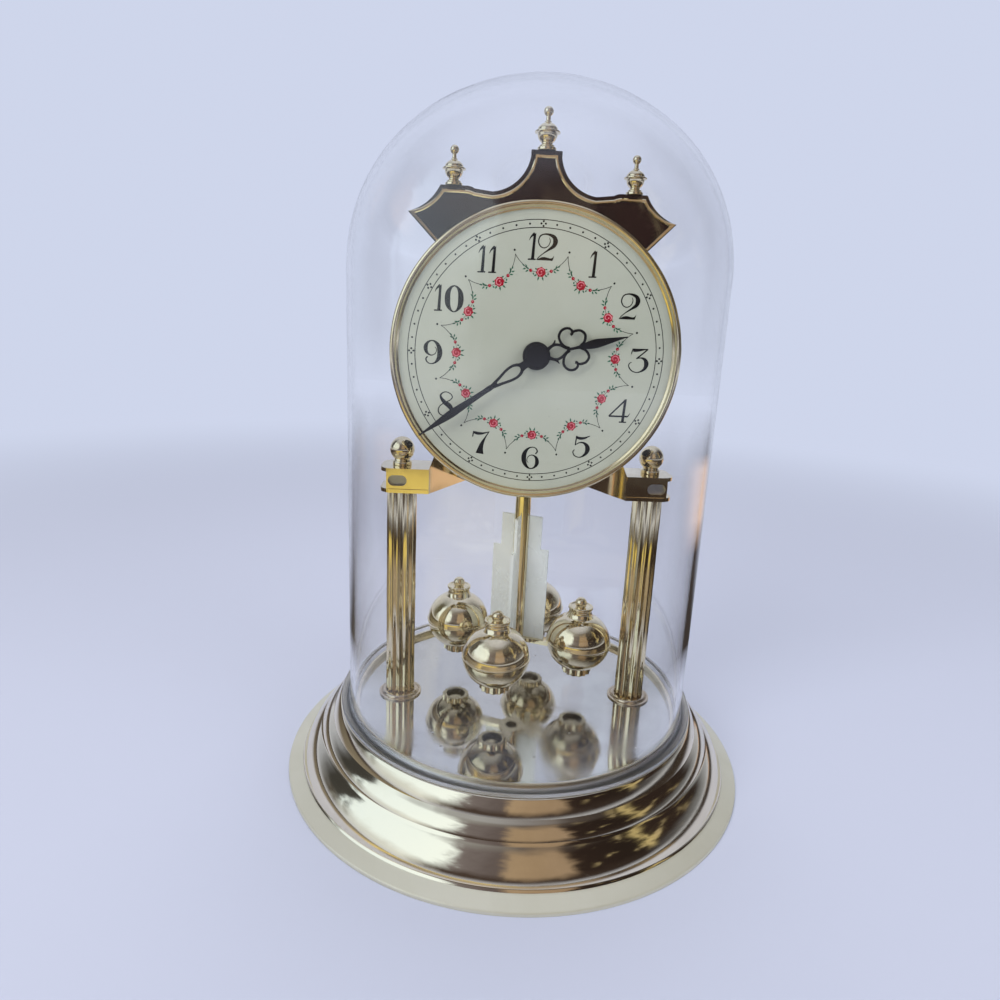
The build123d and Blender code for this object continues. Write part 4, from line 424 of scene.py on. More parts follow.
def stroke(knots: Rows, back: float, front: float, steps: int, edge: float = 0) -> Surface:
    """Pen stroke along a smooth path.

    The rails lie half a width to the left and right of the path, along its normals.

    Args:
        knots: Rows of x, y and full width.
        back: Height of the back face.
        front: Height of the front face.
        steps: How many runs there are between knots.
        edge: Width of the slope along the front edges.

    Returns:
        The stroke's skin.
    """
    line = flowing(np.array(knots), steps)
    path, half = line[:, :2], np.maximum(line[:, 2:], THINNEST) / 2
    side = sideways(path)
    return strip(path + side * half, path - side * half, back, front, edge)


def mirrored(half: Array) -> Array:
    """A flat path from the mirror image of its right half and the half itself."""
    return np.vstack([(half * np.array([-1, 1]))[::-1], half[1:]])


def polar(radius: float, angle: float) -> tuple[float, float]:
    """Place at an angle from the X axis."""
    return radius * math.cos(angle), radius * math.sin(angle)


def to_axis(line: Outline) -> Array:
    """Points of an open outline whose last one lies on the axis."""
    profile = line.drawn(closed=False)
    profile[-1, 0] = 0
    return profile


def at_columns(skin: Surface) -> list[Surface]:
    """The skin at the left and the right column."""
    return [skin.moved(side * COLUMN_X, COLUMN_Y) for side in SIDES]


# Finishes


Socket = bpy.types.NodeSocket
Node = bpy.types.Node
Tree = bpy.types.NodeTree
Material = bpy.types.Material
Colour = tuple[float, float, float]


def opaque(colour: Colour) -> tuple[float, float, float, float]:
    """A colour with full cover."""
    return (*colour, 1.0)


class Wiring:
    """Adds and joins the nodes of one material or effect."""

    def __init__(self, tree: Tree) -> None:
        """Keeps the tree that nodes go into, and its shader where it has one."""
        self.tree = tree
        self.shader = tree.nodes.get("Principled BSDF")

    def feed(self, node: Node, inputs: dict[str | int, object]) -> None:
        """Puts values into a node's inputs and joins sockets to them.

        Args:
            node: The node.
            inputs: Values, colours or sockets, by the input's name or number.
        """
        for name, value in inputs.items():
            if isinstance(value, Socket):
                self.tree.links.new(value, node.inputs[name])
            elif node.inputs[name].type == "RGBA":
                node.inputs[name].default_value = opaque(value)
            else:
                node.inputs[name].default_value = value

    def node(self, kind: str, inputs: dict[str | int, object] | None = None, **options: object) -> Node:
        """Adds a node.

        Args:
            kind: Blender's name of the node, after its common start.
            inputs: Values or sockets for its inputs, by name or number.
            **options: Settings of the node itself.

        Returns:
            The new node.
        """
        made = self.tree.nodes.new("ShaderNode" + kind)
        for name, value in options.items():
            setattr(made, name, value)
        self.feed(made, inputs or {})
        return made

    def shared(self, group: Tree, inputs: dict[str, object]) -> Node:
        """Adds one of the shared effects."""
        return self.node("Group", inputs, node_tree=group)

    def shown(self, share: object, first: Node, second: Node) -> None:
        """Joins a mix of two shaders to the material's output."""
        mixed = self.node("MixShader", {0: share, 1: first.outputs[0], 2: second.outputs[0]})
        self.feed(self.tree.nodes["Material Output"], {"Surface": mixed.outputs[0]})

    def places(self) -> Socket:
        """Object coordinates, which stay with the piece."""
        return self.node("TexCoord").outputs["Object"]

    def shifted(
        self, vector: Socket, turn: Sequence[float] = (0, 0, 0), stretch: Sequence[float] = (1, 1, 1),
        start: Sequence[float] = (0, 0, 0),
    ) -> Socket:
        """Coordinates that are moved, then turned and stretched."""
        inputs = {"Vector": vector, "Location": start, "Rotation": turn, "Scale": stretch}
        return self.node("Mapping", inputs).outputs[0]

    def sums(self, kind: str, a: object, b: object = 0.0, c: object = 0.0) -> Socket:
        """One step of arithmetic."""
        return self.node("Math", {0: a, 1: b, 2: c}, operation=kind).outputs[0]

    def times(self, a: object, b: object) -> Socket:
        """Product of two values."""
        return self.sums("MULTIPLY", a, b)

    def scaled(self, value: object, by: object, onto: object) -> Socket:
        """A value times another, added onto a third."""
        return self.sums("MULTIPLY_ADD", value, by, onto)

    def noise(
        self, vector: Socket, scale: object, detail: float = 3, rough: float = 0.5, twist: float = 0
    ) -> Socket:
        """Soft random pattern between 0 and 1."""
        inputs = {"Vector": vector, "Scale": scale, "Detail": detail, "Roughness": rough, "Distortion": twist}
        return self.node("TexNoise", inputs).outputs[0]

    def lined(self, along: Socket, detail: float) -> Socket:
        """Soft random pattern along one value."""
        inputs = {"W": along, "Scale": 1.0, "Detail": detail}
        return self.node("TexNoise", inputs, noise_dimensions="1D").outputs[0]

    def span(self, value: object, low: float, high: float, start: object = 0.0, end: object = 1.0) -> Socket:
        """Takes low to start and high to end, and holds what lies beyond."""
        inputs = {"Value": value, "From Min": low, "From Max": high, "To Min": start, "To Max": end}
        return self.node("MapRange", inputs).outputs[0]

    def blended(self, share: object, a: object, b: object) -> Socket:
        """Colour between two colours."""
        return self.node("Mix", {0: share, 6: a, 7: b}, data_type="RGBA").outputs[2]

    def relief(self, height: object, distance: float) -> Socket:
        """Normal of a fine relief."""
        return self.node("Bump", {"Height": height, "Distance": distance, "Strength": 1}).outputs[0]

    def apart(self, place: Socket) -> bpy.types.NodeOutputs:
        """The x, y and z of a place."""
        return self.node("SeparateXYZ", {0: place}).outputs


def effect(
    name: str, inputs: dict[str, float], outputs: Sequence[str]
) -> tuple[Wiring, Node, Node]:
    """Starts a node group that several finishes share.

    Args:
        name: The group's name.
        inputs: Its numbers with their usual values. A vector input comes first on its own.
        outputs: Names of the masks and heights that it gives.

    Returns:
        The group's wiring, its input node and its output node.
    """
    group = bpy.data.node_groups.new(name, "ShaderNodeTree")
    group.interface.new_socket(name="Vector", in_out="INPUT", socket_type="NodeSocketVector")
    for label, value in inputs.items():
        socket = group.interface.new_socket(name=label, in_out="INPUT", socket_type="NodeSocketFloat")
        socket.default_value = value
    for label in outputs:
        group.interface.new_socket(name=label, in_out="OUTPUT", socket_type="NodeSocketFloat")
    return Wiring(group), group.nodes.new("NodeGroupInput"), group.nodes.new("NodeGroupOutput")


class Effects:
    """Effects that more than one finish uses, made once."""

    def __init__(self) -> None:
        """Makes the groups."""
        self.wear = self.handling_wear()
        self.rings = self.turning_rings()
        self.grain = self.moulding_grain()

    @staticmethod
    def handling_wear() -> Tree:
        """Smudges, hairline scuffs and a fine ripple of plated surfaces.

        Returns:
            The group.
        """
        numbers = {"Smudge Scale": 22.0, "Scuff Scale": 60.0}
        wiring, start, end = effect("handling wear", numbers, ("Smudge", "Scuff", "Ripple"))
        place = start.outputs["Vector"]
        cloud = wiring.noise(place, start.outputs["Smudge Scale"], 5, 0.62, 0.8)
        hairs = []
        for angle in (0.4, 1.5, 2.6):
            turned = wiring.shifted(place, (angle, angle * 0.7, angle), (1, 26, 1))
            line = wiring.noise(turned, start.outputs["Scuff Scale"], 2, 0.5, 0.3)
            hairs.append(wiring.span(line, 0.72, 0.76))
        scuff = wiring.sums("MAXIMUM", wiring.sums("MAXIMUM", hairs[0], hairs[1]), hairs[2])
        ripple = wiring.noise(place, 85.0, 2, 0.45)
        wiring.feed(end, {"Smudge": wiring.span(cloud, 0.45, 0.72), "Scuff": scuff, "Ripple": ripple})
        return wiring.tree

    @staticmethod
    def turning_rings() -> Tree:
        """Fine tool rings round the Z axis: a pattern along sqrt(x² + y²) + 0.73 z.

        Returns:
            The group.
        """
        wiring, start, end = effect("turning rings", {"Pitch": 4000.0}, ("Height", "Shade"))
        x, y, z = wiring.apart(start.outputs["Vector"])
        square = wiring.sums("ADD", wiring.sums("POWER", x, 2.0), wiring.sums("POWER", y, 2.0))
        along = wiring.sums("ADD", wiring.sums("SQRT", square), wiring.times(z, 0.73))
        fine = wiring.times(along, start.outputs["Pitch"])
        broad = wiring.times(fine, 0.11)
        wiring.feed(end, {"Height": wiring.lined(fine, 3.0), "Shade": wiring.lined(broad, 2.0)})
        return wiring.tree

    @staticmethod
    def moulding_grain() -> Tree:
        """Spark-eroded grain of moulded plastic, with slow changes of shade.

        Returns:
            The group.
        """
        wiring, start, end = effect("moulding grain", {"Grain Scale": 1800.0}, ("Height", "Shade"))
        place = start.outputs["Vector"]
        fine = wiring.noise(place, start.outputs["Grain Scale"], 3, 0.6)
        wiring.feed(end, {"Height": fine, "Shade": wiring.noise(place, 35.0, 3, 0.55)})
        return wiring.tree


EFFECTS = Effects()


def fresh_material(name: str) -> tuple[Material, Wiring]:
    """Starts a material.

    Args:
        name: The material's name.

    Returns:
        The material and its wiring.
    """
    made = bpy.data.materials.new(name)
    made.use_nodes = True
    return made, Wiring(made.node_tree)


@dataclass(frozen=True)
class Finish:
    """One finish of the clock.

    Attributes:
        name: The material's name.
        colour: Its main colour.
        second: Colour that it wanders to.
        rough: Roughness where it is clean.
        depth: Height of its relief, in metres.
    """

    name: str
    colour: Colour
    second: Colour
    rough: float
    depth: float = 0.00002

    def material(self) -> Material:
        """Gives the material, made the first time that it is asked for.

        Returns:
            The material.
        """
        known = bpy.data.materials.get(self.name)
        if known is not None:
            return known
        made, wiring = fresh_material(self.name)
        self.dress(wiring)
        made.diffuse_color = opaque(self.colour)
        return made

    def dress(self, wiring: Wiring) -> None:
        """Joins the finish's nodes to its shader; each kind of finish has its own."""
        raise NotImplementedError


@dataclass(frozen=True)
class Plating(Finish):
    """Bright plated metal with smudges, hairline scuffs and the ripple of its moulding.

    Attributes:
        haze: How much rougher a smudge is.
        smudge_scale: How small the smudges are.
        dust: How much a dust speck covers.
        dust_colour: Colour of the dust.
    """

    haze: float = 0.06
    depth: float = 0.00003
    smudge_scale: float = 22.0
    dust: float = 0.0
    dust_colour: Colour = (0.62, 0.61, 0.58)

    def dress(self, wiring: Wiring) -> None:
        """Colour and roughness follow the smudges and the dust; the relief is ripple and scuffs.

        Args:
            wiring: The material's wiring.
        """
        wear = wiring.shared(EFFECTS.wear, {"Vector": wiring.places(), "Smudge Scale": self.smudge_scale})
        smudge, scuff, ripple = wear.outputs
        rough = wiring.scaled(scuff, 0.05, wiring.scaled(smudge, self.haze, self.rough))
        height = wiring.scaled(scuff, -0.03, ripple)
        colour = wiring.blended(wiring.times(smudge, 0.6), self.colour, self.second)
        if self.dust:
            specks = wiring.node("TexVoronoi", {"Vector": wiring.places(), "Scale": 190.0})
            patch = wiring.span(wiring.noise(wiring.places(), 46.0, 3, 0.6), 0.42, 0.66)
            speck = wiring.times(wiring.span(specks.outputs["Distance"], 0.06, 0.13, self.dust, 0.0), patch)
            colour = wiring.blended(speck, colour, self.dust_colour)
            rough = wiring.scaled(speck, 0.5, rough)
        wiring.feed(wiring.shader, {
            "Base Color": colour, "Roughness": rough, "Metallic": 1.0,
            "Normal": wiring.relief(height, self.depth),
        })


@dataclass(frozen=True)
class Satin(Finish):
    """Satin metal with fine turning rings.

    Attributes:
        metal: How metallic it is.
        pitch: How close the rings lie.
        centre: Shift that brings the rings' axis to the origin, in metres.
        turn: Turn that brings the rings' axis to Z.
    """

    metal: float = 1.0
    pitch: float = 4000.0
    depth: float = 0.00001
    centre: Colour = (0.0, 0.0, 0.0)
    turn: Colour = (0.0, 0.0, 0.0)

    def dress(self, wiring: Wiring) -> None:
        """Rings give relief and a little shade, and smudges vary the gloss.

        Args:
            wiring: The material's wiring.
        """
        place = wiring.shifted(wiring.places(), self.turn, start=self.centre)
        rings = wiring.shared(EFFECTS.rings, {"Vector": place, "Pitch": self.pitch})
        wear = wiring.shared(EFFECTS.wear, {"Vector": wiring.places(), "Smudge Scale": 30.0})
        shade = wiring.scaled(wear.outputs["Smudge"], 0.5, wiring.times(rings.outputs["Shade"], 0.5))
        wiring.feed(wiring.shader, {
            "Base Color": wiring.blended(shade, self.colour, self.second),
            "Roughness": wiring.scaled(shade, 0.1, self.rough),
            "Metallic": self.metal, "Normal": wiring.relief(rings.outputs["Height"], self.depth),
        })


@dataclass(frozen=True)
class Moulded(Finish):
    """Moulded or painted surface with a fine grain.

    Attributes:
        scale: How fine the grain is.
        metal: How metallic it is.
        specular: Level of the plain gloss.
    """

    scale: float = 1800.0
    metal: float = 0.0
    specular: float = 0.5

    def dress(self, wiring: Wiring) -> None:
        """Shade wanders slowly, the grain gives relief, and scuffs are rougher.

        Args:
            wiring: The material's wiring.
        """
        place = wiring.places()
        grain = wiring.shared(EFFECTS.grain, {"Vector": place, "Grain Scale": self.scale})
        wear = wiring.shared(EFFECTS.wear, {"Vector": place})
        shade = wiring.span(grain.outputs["Shade"], 0.35, 0.7)
        gloss = wiring.scaled(wear.outputs["Smudge"], 0.08, self.rough)
        wiring.feed(wiring.shader, {
            "Base Color": wiring.blended(shade, self.colour, self.second),
            "Roughness": wiring.scaled(wear.outputs["Scuff"], 0.06, gloss),
            "Metallic": self.metal, "Specular IOR Level": self.specular,
            "Normal": wiring.relief(grain.outputs["Height"], self.depth),
        })


@dataclass(frozen=True)
class Wound(Finish):
    """Enamelled wire laid turn by turn, with painted shade in the grooves between the turns.

    Attributes:
        turns: Turns in a metre.
        metal: How metallic it is.
    """

    turns: float = 5200.0
    metal: float = 0.9
    depth: float = 0.00006

    def dress(self, wiring: Wiring) -> None:
        """Round wires side by side: height is the sine of the place along the coil, and the colour darkens
        towards the grooves between the turns as painted shade, varied at random.

        Args:
            wiring: The material's wiring.
        """
        along = wiring.apart(wiring.places())[2]
        height = wiring.span(wiring.sums("SINE", wiring.times(along, self.turns * TURN)), -1, 1)
        # painted shade: darker second colour in the grooves between turns, times a random noise
        shade = wiring.times(height, wiring.noise(wiring.places(), 400.0, 2))
        wiring.feed(wiring.shader, {
            "Base Color": wiring.blended(shade, self.second, self.colour), "Roughness": self.rough,
            "Metallic": self.metal, "Normal": wiring.relief(height, self.depth),
        })


@dataclass(frozen=True)
class Board(Finish):
    """Printed board with copper tracks under its lacquer.

    Attributes:
        cells: How small the fields between the tracks are.
    """

    cells: float = 420.0
    depth: float = 0.00003

    def dress(self, wiring: Wiring) -> None:
        """Tracks are the thin dark lines between the cells of an uneven pattern.

        Args:
            wiring: The material's wiring.
        """
        inputs = {"Vector": wiring.places(), "Scale": self.cells}
        cells = wiring.node("TexVoronoi", inputs, feature="DISTANCE_TO_EDGE", distance="EUCLIDEAN")
        track = wiring.span(cells.outputs["Distance"], 0.06, 0.1)
        slow = wiring.noise(wiring.places(), 90.0, 3)
        shade = wiring.times(track, wiring.span(slow, 0.3, 0.7, 0.6, 1.0))
        wiring.feed(wiring.shader, {
            "Base Color": wiring.blended(shade, self.second, self.colour), "Roughness": self.rough,
            "Normal": wiring.relief(track, self.depth),
        })


@dataclass(frozen=True)
class BatteryWrap(Finish):
    """Printed film round the cell: a long dark part and a copper-coloured end.

    Attributes:
        end: Where the copper-coloured end starts along X, in metres.
        fade: Width of the change between the two colours, in metres.
    """

    end: float = 0.0088
    fade: float = 0.0002
    depth: float = 0.00003

    def dress(self, wiring: Wiring) -> None:
        """The colour changes at one place along X, and the film has fine wrinkles.

        Args:
            wiring: The material's wiring.
        """
        end = wiring.span(wiring.apart(wiring.places())[0], self.end, self.end + self.fade)
        crease = wiring.noise(wiring.shifted(wiring.places(), stretch=(4, 1, 1)), 240.0, 3)
        wiring.feed(wiring.shader, {
            "Base Color": wiring.blended(end, self.colour, self.second), "Roughness": self.rough,
            "Metallic": wiring.span(end, 0, 1, 0.1, 0.8), "Normal": wiring.relief(crease, self.depth),
        })


@dataclass(frozen=True)
class ClearPlastic(Finish):
    """Clear moulded dome, which lets the lamps' light through to the clock.

    Attributes:
        bend: How strongly it bends light.
        frosted_to: Height up to which the foot flange is frosted, in metres.
        clear_from: Height from which the wall is clear, in metres.
        frost: Roughness that the frosted flange has besides.
    """

    bend: float = 1.49
    frosted_to: float = 0.0255
    clear_from: float = 0.0272
    frost: float = 0.3

    def dress(self, wiring: Wiring) -> None:
        """Transmission with smudges in the gloss and a frosted flange.

        Lamp rays and soft light pass straight on, so that the clock inside is lit.

        Args:
            wiring: The material's wiring.
        """
        scales = {"Smudge Scale": 14.0, "Scuff Scale": 34.0}
        wear = wiring.shared(EFFECTS.wear, {"Vector": wiring.places(), **scales})
        dulled = wiring.scaled(wear.outputs["Smudge"], 0.012, self.rough)
        scuffed = wiring.scaled(wear.outputs["Scuff"], 0.03, dulled)
        height = wiring.apart(wiring.places())[2]
        frosted = wiring.span(height, self.frosted_to, self.clear_from, self.frost, 0.0)
        wiring.feed(wiring.shader, {
            "Base Color": self.colour, "Roughness": wiring.sums("ADD", scuffed, frosted), "Metallic": 0.0,
            "Transmission Weight": 1.0, "IOR": self.bend,
            "Normal": wiring.relief(wear.outputs["Ripple"], self.depth),
        })
        ray = wiring.node("LightPath").outputs
        passing = wiring.sums("MAXIMUM", ray["Is Shadow Ray"], ray["Is Diffuse Ray"])
        wiring.shown(passing, wiring.shader, wiring.node("BsdfTransparent", {"Color": self.second}))


@dataclass(frozen=True)
class CrownGloss(Finish):
    """Near-black glossy panel with a wine tint in places; the near-black and the wine tint are a painted
    reflection of a dark room in the panel's face.

    Attributes:
        specular: Level of the gloss under the coat.
        coat_rough: Roughness of the coat.
    """

    specular: float = 0.1
    coat_rough: float = 0.03

    def dress(self, wiring: Wiring) -> None:
        """The painted reflection tint wanders slowly under a bright coat.

        Args:
            wiring: The material's wiring.
        """
        place = wiring.places()
        # painted reflection: near-black with wandering wine patches, standing in for a dark room mirrored in
        # the panel
        reflected_room_tint = wiring.span(wiring.noise(place, 30.0, 3, 0.5), 0.4, 0.65)
        wear = wiring.shared(EFFECTS.wear, {"Vector": place, "Scuff Scale": 90.0})
        wiring.feed(wiring.shader, {
            "Base Color": wiring.blended(reflected_room_tint, self.colour, self.second),
            "Roughness": wiring.scaled(wear.outputs["Smudge"], 0.05, self.rough),
            "Specular IOR Level": self.specular, "Coat Weight": 1.0, "Coat Roughness": self.coat_rough,
            "Normal": wiring.relief(wear.outputs["Ripple"], self.depth),
        })


@dataclass(frozen=True)
class DialLacquer(Finish):
    """Satin cream-green paint of the dial.

    Attributes:
        speck_colour: Colour of its few specks.
        haze: How much rougher it is where it is clouded.
    """

    speck_colour: Colour = (0.22, 0.21, 0.15)
    depth: float = 0.000012
    haze: float = 0.08

    def dress(self, wiring: Wiring) -> None:
        """The paint is slightly clouded, with a few specks and a soft orange-peel relief.

        Args:
            wiring: The material's wiring.
        """
        place = wiring.places()
        cloud = wiring.span(wiring.noise(place, 38.0, 4, 0.6), 0.3, 0.75)
        specks = wiring.node("TexVoronoi", {"Vector": place, "Scale": 260.0})
        speck = wiring.times(wiring.span(specks.outputs["Distance"], 0.05, 0.09, 0.5, 0.0), 0.35)
        tone = wiring.blended(cloud, self.colour, self.second)
        wiring.feed(wiring.shader, {
            "Base Color": wiring.blended(speck, tone, self.speck_colour),
            "Roughness": wiring.span(cloud, 0, 1, self.rough, self.rough + self.haze),
            "Normal": wiring.relief(wiring.noise(place, 900.0, 2, 0.5), self.depth),
        })


BASE_GOLD = Plating(
    "champagne base plating", (0.87, 0.79, 0.62), (0.75, 0.66, 0.48), 0.07, haze=0.07, smudge_scale=26.0
)
FOOT_SATIN = Satin("satin foot band", (0.68, 0.66, 0.55), (0.6, 0.58, 0.46), 0.34, metal=0.45, pitch=2600.0)
# Black of the base's underside, also used as painted shade in the hollows of the pendulum's feet
UNDERSIDE_BLACK_AND_HOLLOW_SHADE = Moulded(
    "base underside and painted hollow shade", (0.035, 0.033, 0.03), (0.05, 0.048, 0.044), 0.5, depth=0.00004, scale=1200.0
)
GOLD = Plating("gold plating", (0.87, 0.77, 0.55), (0.75, 0.63, 0.4), 0.055, smudge_scale=60.0)
DEEP_GOLD = Plating(
    "bezel gold plating", (0.87, 0.75, 0.5), (0.76, 0.62, 0.38), 0.08, haze=0.05, smudge_scale=50.0
)
DULL_GOLD = Plating(
    "dull flange gold", (0.66, 0.56, 0.42), (0.48, 0.4, 0.29), 0.2, haze=0.15, smudge_scale=120.0
)
VANE_SHEET = Moulded(
    "pale vane sheet", (0.84, 0.88, 0.86), (0.78, 0.83, 0.80), 0.26, depth=0.000006, scale=900.0, metal=0.15
)
MIRROR = Plating(
    "mirror plate", (0.70, 0.69, 0.65), (0.56, 0.55, 0.52), 0.055,
    haze=0.16, depth=0.000006, smudge_scale=34.0, dust=0.8,
)
CLEAR = ClearPlastic("clear dome plastic", (1.0, 1.0, 1.0), (0.97, 0.975, 0.985), 0.004)
DIAL_PAINT = DialLacquer("dial lacquer", (0.53, 0.545, 0.43), (0.48, 0.50, 0.39), 0.32)
PRINT = {"depth": 0.000004, "scale": 2500.0, "specular": 0.12}
INK_BLACK = Moulded("black print", (0.004, 0.004, 0.004), (0.008, 0.008, 0.008), 0.5, **PRINT)
INK_CRIMSON = Moulded("crimson print", (0.30, 0.004, 0.012), (0.40, 0.008, 0.025), 0.4, **PRINT)
INK_PINK = Moulded("pink print", (0.68, 0.13, 0.17), (0.8, 0.3, 0.32), 0.4, **PRINT)
INK_GREEN = Moulded("green print", (0.012, 0.09, 0.05), (0.025, 0.15, 0.075), 0.4, **PRINT)
# painted reflection: the crown panel's near-black and wine colours stand in for a dark room mirrored in it
PANEL = CrownGloss("crown panel gloss with painted reflection", (0.003, 0.003, 0.006), (0.014, 0.003, 0.004), 0.12)
HAND_BLACK = Moulded(
    "black hand paint", (0.006, 0.006, 0.008), (0.012, 0.012, 0.014), 0.34,
    depth=0.000008, scale=2600.0, specular=0.22,
)
STEEL = Satin("zinc-plated steel", (0.58, 0.59, 0.6), (0.45, 0.46, 0.48), 0.28, pitch=5200.0)
CASE_STEEL = Satin(
    "lacquered case steel", (0.72, 0.62, 0.4), (0.6, 0.5, 0.3), 0.24, pitch=2400.0,
    centre=(0.0, DIAL_HEIGHT * MM, 0.0), turn=(math.pi / 2, 0.0, 0.0),
)
BLACK_PLASTIC = Moulded(
    "black movement plastic", (0.018, 0.018, 0.019), (0.03, 0.03, 0.032), 0.42, depth=0.00003
)
WHITE_PLASTIC = Moulded("white gear plastic", (0.74, 0.74, 0.7), (0.68, 0.67, 0.61), 0.36, depth=0.00001)
BRASS = Satin("turned brass", (0.79, 0.6, 0.28), (0.66, 0.47, 0.2), 0.22, pitch=6000.0)
# painted shade: the second colour is the shade in the grooves between the wire turns
COPPER = Wound("enamelled copper wire", (0.72, 0.28, 0.12), (0.32, 0.09, 0.03), 0.3)
CIRCUIT = Board("green circuit board", (0.02, 0.13, 0.05), (0.1, 0.24, 0.08), 0.35)
FERRITE = Moulded(
    "grey ferrite", (0.06, 0.06, 0.065), (0.09, 0.09, 0.095), 0.55, depth=0.00003, scale=2200.0, metal=0.4
)
CELL = BatteryWrap("cell wrap", (0.02, 0.02, 0.022), (0.62, 0.3, 0.13), 0.25)

CARRIED_FINISHES = {
    "base_metal": BASE_GOLD, "gold_metal": GOLD, "mirror": MIRROR, "clear_dome": CLEAR, "steel": STEEL,
    "case_metal": CASE_STEEL, "dial_paint": DIAL_PAINT, "crown_panel": PANEL, "black_paint": HAND_BLACK,
    "black_plastic": BLACK_PLASTIC, "white_plastic": WHITE_PLASTIC, "battery_wrap": CELL, "brass": BRASS,
    "copper": COPPER, "board": CIRCUIT, "magnet": FERRITE,
}


# Placing


def linked(name: str, data: bpy.types.ID) -> bpy.types.Object:
    """A new object in the scene."""
    made = bpy.data.objects.new(name, data)
    bpy.context.scene.collection.objects.link(made)
    return made


def place(
    name: str, skin: Surface, nodes: Sequence[str] = (), *, body: Body = Body.FRAME, slot: Slot = Slot.GOLD,
    finishes: Sequence[Finish] = (GOLD,), crease: float = 32.0,
) -> None:
    """Makes a piece from its skin, hangs it on its body's empty and hides the nodes of the frame that it
    stands for.

    Args:
        name: The piece's name.
        skin: Its skin, in millimetres.
        nodes: Nodes of the frame that it stands for.
        body: What it moves with.
        slot: The record's slot; not used.
        finishes: Its finishes, by the skin's marks.
        crease: Angle in degrees above which an edge stays sharp.
    """
    mesh = bpy.data.meshes.new(name)
    corners = np.where(skin.faces[:, 3] < 0, 3, 4)
    mesh.vertices.add(len(skin.points))
    mesh.vertices.foreach_set("co", (skin.points * MM).astype(np.float32).ravel())
    mesh.loops.add(int(corners.sum()))
    mesh.loops.foreach_set("vertex_index", skin.faces[skin.faces >= 0].astype(np.int32))
    mesh.polygons.add(len(corners))
    mesh.polygons.foreach_set("loop_start", np.concatenate([[0], np.cumsum(corners)[:-1]]).astype(np.int32))
    mesh.polygons.foreach_set("material_index", skin.marks.astype(np.int32))
    mesh.polygons.foreach_set("use_smooth", np.ones(len(corners), dtype=bool))
    mesh.update(calc_edges=True)
    mesh.validate()
    mesh.set_sharp_from_angle(angle=math.radians(crease))
    for finish in finishes:
        mesh.materials.append(finish.material())
    made = linked(name, mesh)
    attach(made, body.value)
    if nodes:
        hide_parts(*nodes)
    log.info("%s: %d faces on %s", name, len(corners), body.value)


# Sub-assemblies


@dataclass
class Base:
    """Round stepped base with its satin foot band and ribbed underside."""

    foot_radius: float = 83.1
    foot_edge: float = 1.05
    shoulder_height: float = 23.4
    lip_outer: float = 59.25
    lip_inner: float = 58.0
    lip_top: float = 24.5
    deck: float = 21.2
    deck_under: float = 19.4
    rib_ring: float = 10.0
    rib_width: float = 1.6
    rib_drop: float = 3.0
    rib_count: int = 6
    boss_radius: float = 6.0
    boss_bore: float = 1.9
    boss_foot: float = 15.0

    def shell(self) -> Surface:
        """Turns the wall: foot, three hollow-backed bands, shoulder, lip, deck and the inside.

        Returns:
            The skin, with the foot band as its second finish and the inside as its third.
        """
        line = Outline().to(self.foot_radius, 0, 0.25).to(self.foot_radius, self.foot_edge, 0.5)
        line.to(78.3, 2.9, 0.3).to(77.6, 3.6).arc((75.25, 8.52), (71.7, 12.7), 26)
        line.to(70.9, 13.4).arc((69.59, 15.81), (67.7, 17.8), 18)
        line.to(67.0, 18.4).arc((66.1, 20.55), (65.0, 22.6), 18)
        line.to(64.4, self.shoulder_height, 0.3).to(self.lip_outer, self.shoulder_height)
        line.to(self.lip_outer, self.lip_top, 0.3).to(self.lip_inner, self.lip_top, 0.3)
        line.to(self.lip_inner, self.deck).to(0, self.deck)
        under = Outline().to(0, self.deck_under).to(63.4, self.deck_under).to(65.4, 17.3, 1).to(69.9, 11.9, 1)
        under.to(75.6, 2.34, 1).to(81.0, 0)
        skin = lathe(np.vstack([under.drawn(closed=False), line.drawn(closed=False)]), 288)
        x, y, height = skin.centres().T
        reach = np.hypot(x, y)
        heights = [20.3, 20.3, 18.3, 12.9, 3.3, 0.5, -1]
        wall = np.interp(reach, [0, 63.4, 65.4, 69.9, 75.6, 81.0, self.foot_radius], heights)
        foot = (reach > 77.9) & (height < 3.2)
        inside = (height < wall) & (reach < 82.9)
        return skin.painted(foot, 1).painted(inside & ~(foot & (height > 0.05)), 2)

    def stiffening(self) -> list[Surface]:
        """Makes the ribs, their ring and the two bosses below the deck.

        Returns:
            Their skins, in the third finish.
        """
        low, high = self.deck_under - self.rib_drop, self.deck_under + 0.5
        half = self.rib_width / 2
        inner, outer, end = self.rib_ring, self.rib_ring + self.rib_width, self.lip_outer - 0.6
        ring = Outline().to(inner, low, 0.3).to(outer, low, 0.3).to(outer, high).to(inner, high)
        left = np.array([(inner, half), (end, half)])
        rib = strip(left, left * np.array([1, -1]), low, high)
        step = 360 / self.rib_count
        boss = Outline().to(self.boss_bore, self.boss_foot, 0.3).to(self.boss_radius, self.boss_foot, 0.4)
        boss.to(self.boss_radius, high).to(self.boss_bore, high)
        parts = [lathe(ring.drawn(), 72)]
        parts += [rib.turned(step * (k + 0.5)) for k in range(self.rib_count)]
        parts += at_columns(lathe(boss.drawn(), 48))
        return [part.painted(True, 2) for part in parts]

    def build(self) -> None:
        """Makes the base as one piece."""
        skin = joined([self.shell(), *self.stiffening()])
        finishes = (BASE_GOLD, FOOT_SATIN, UNDERSIDE_BLACK_AND_HOLLOW_SHADE)
        place("base_body", skin, ("base_shell",), slot=Slot.BASE, finishes=finishes, crease=28)


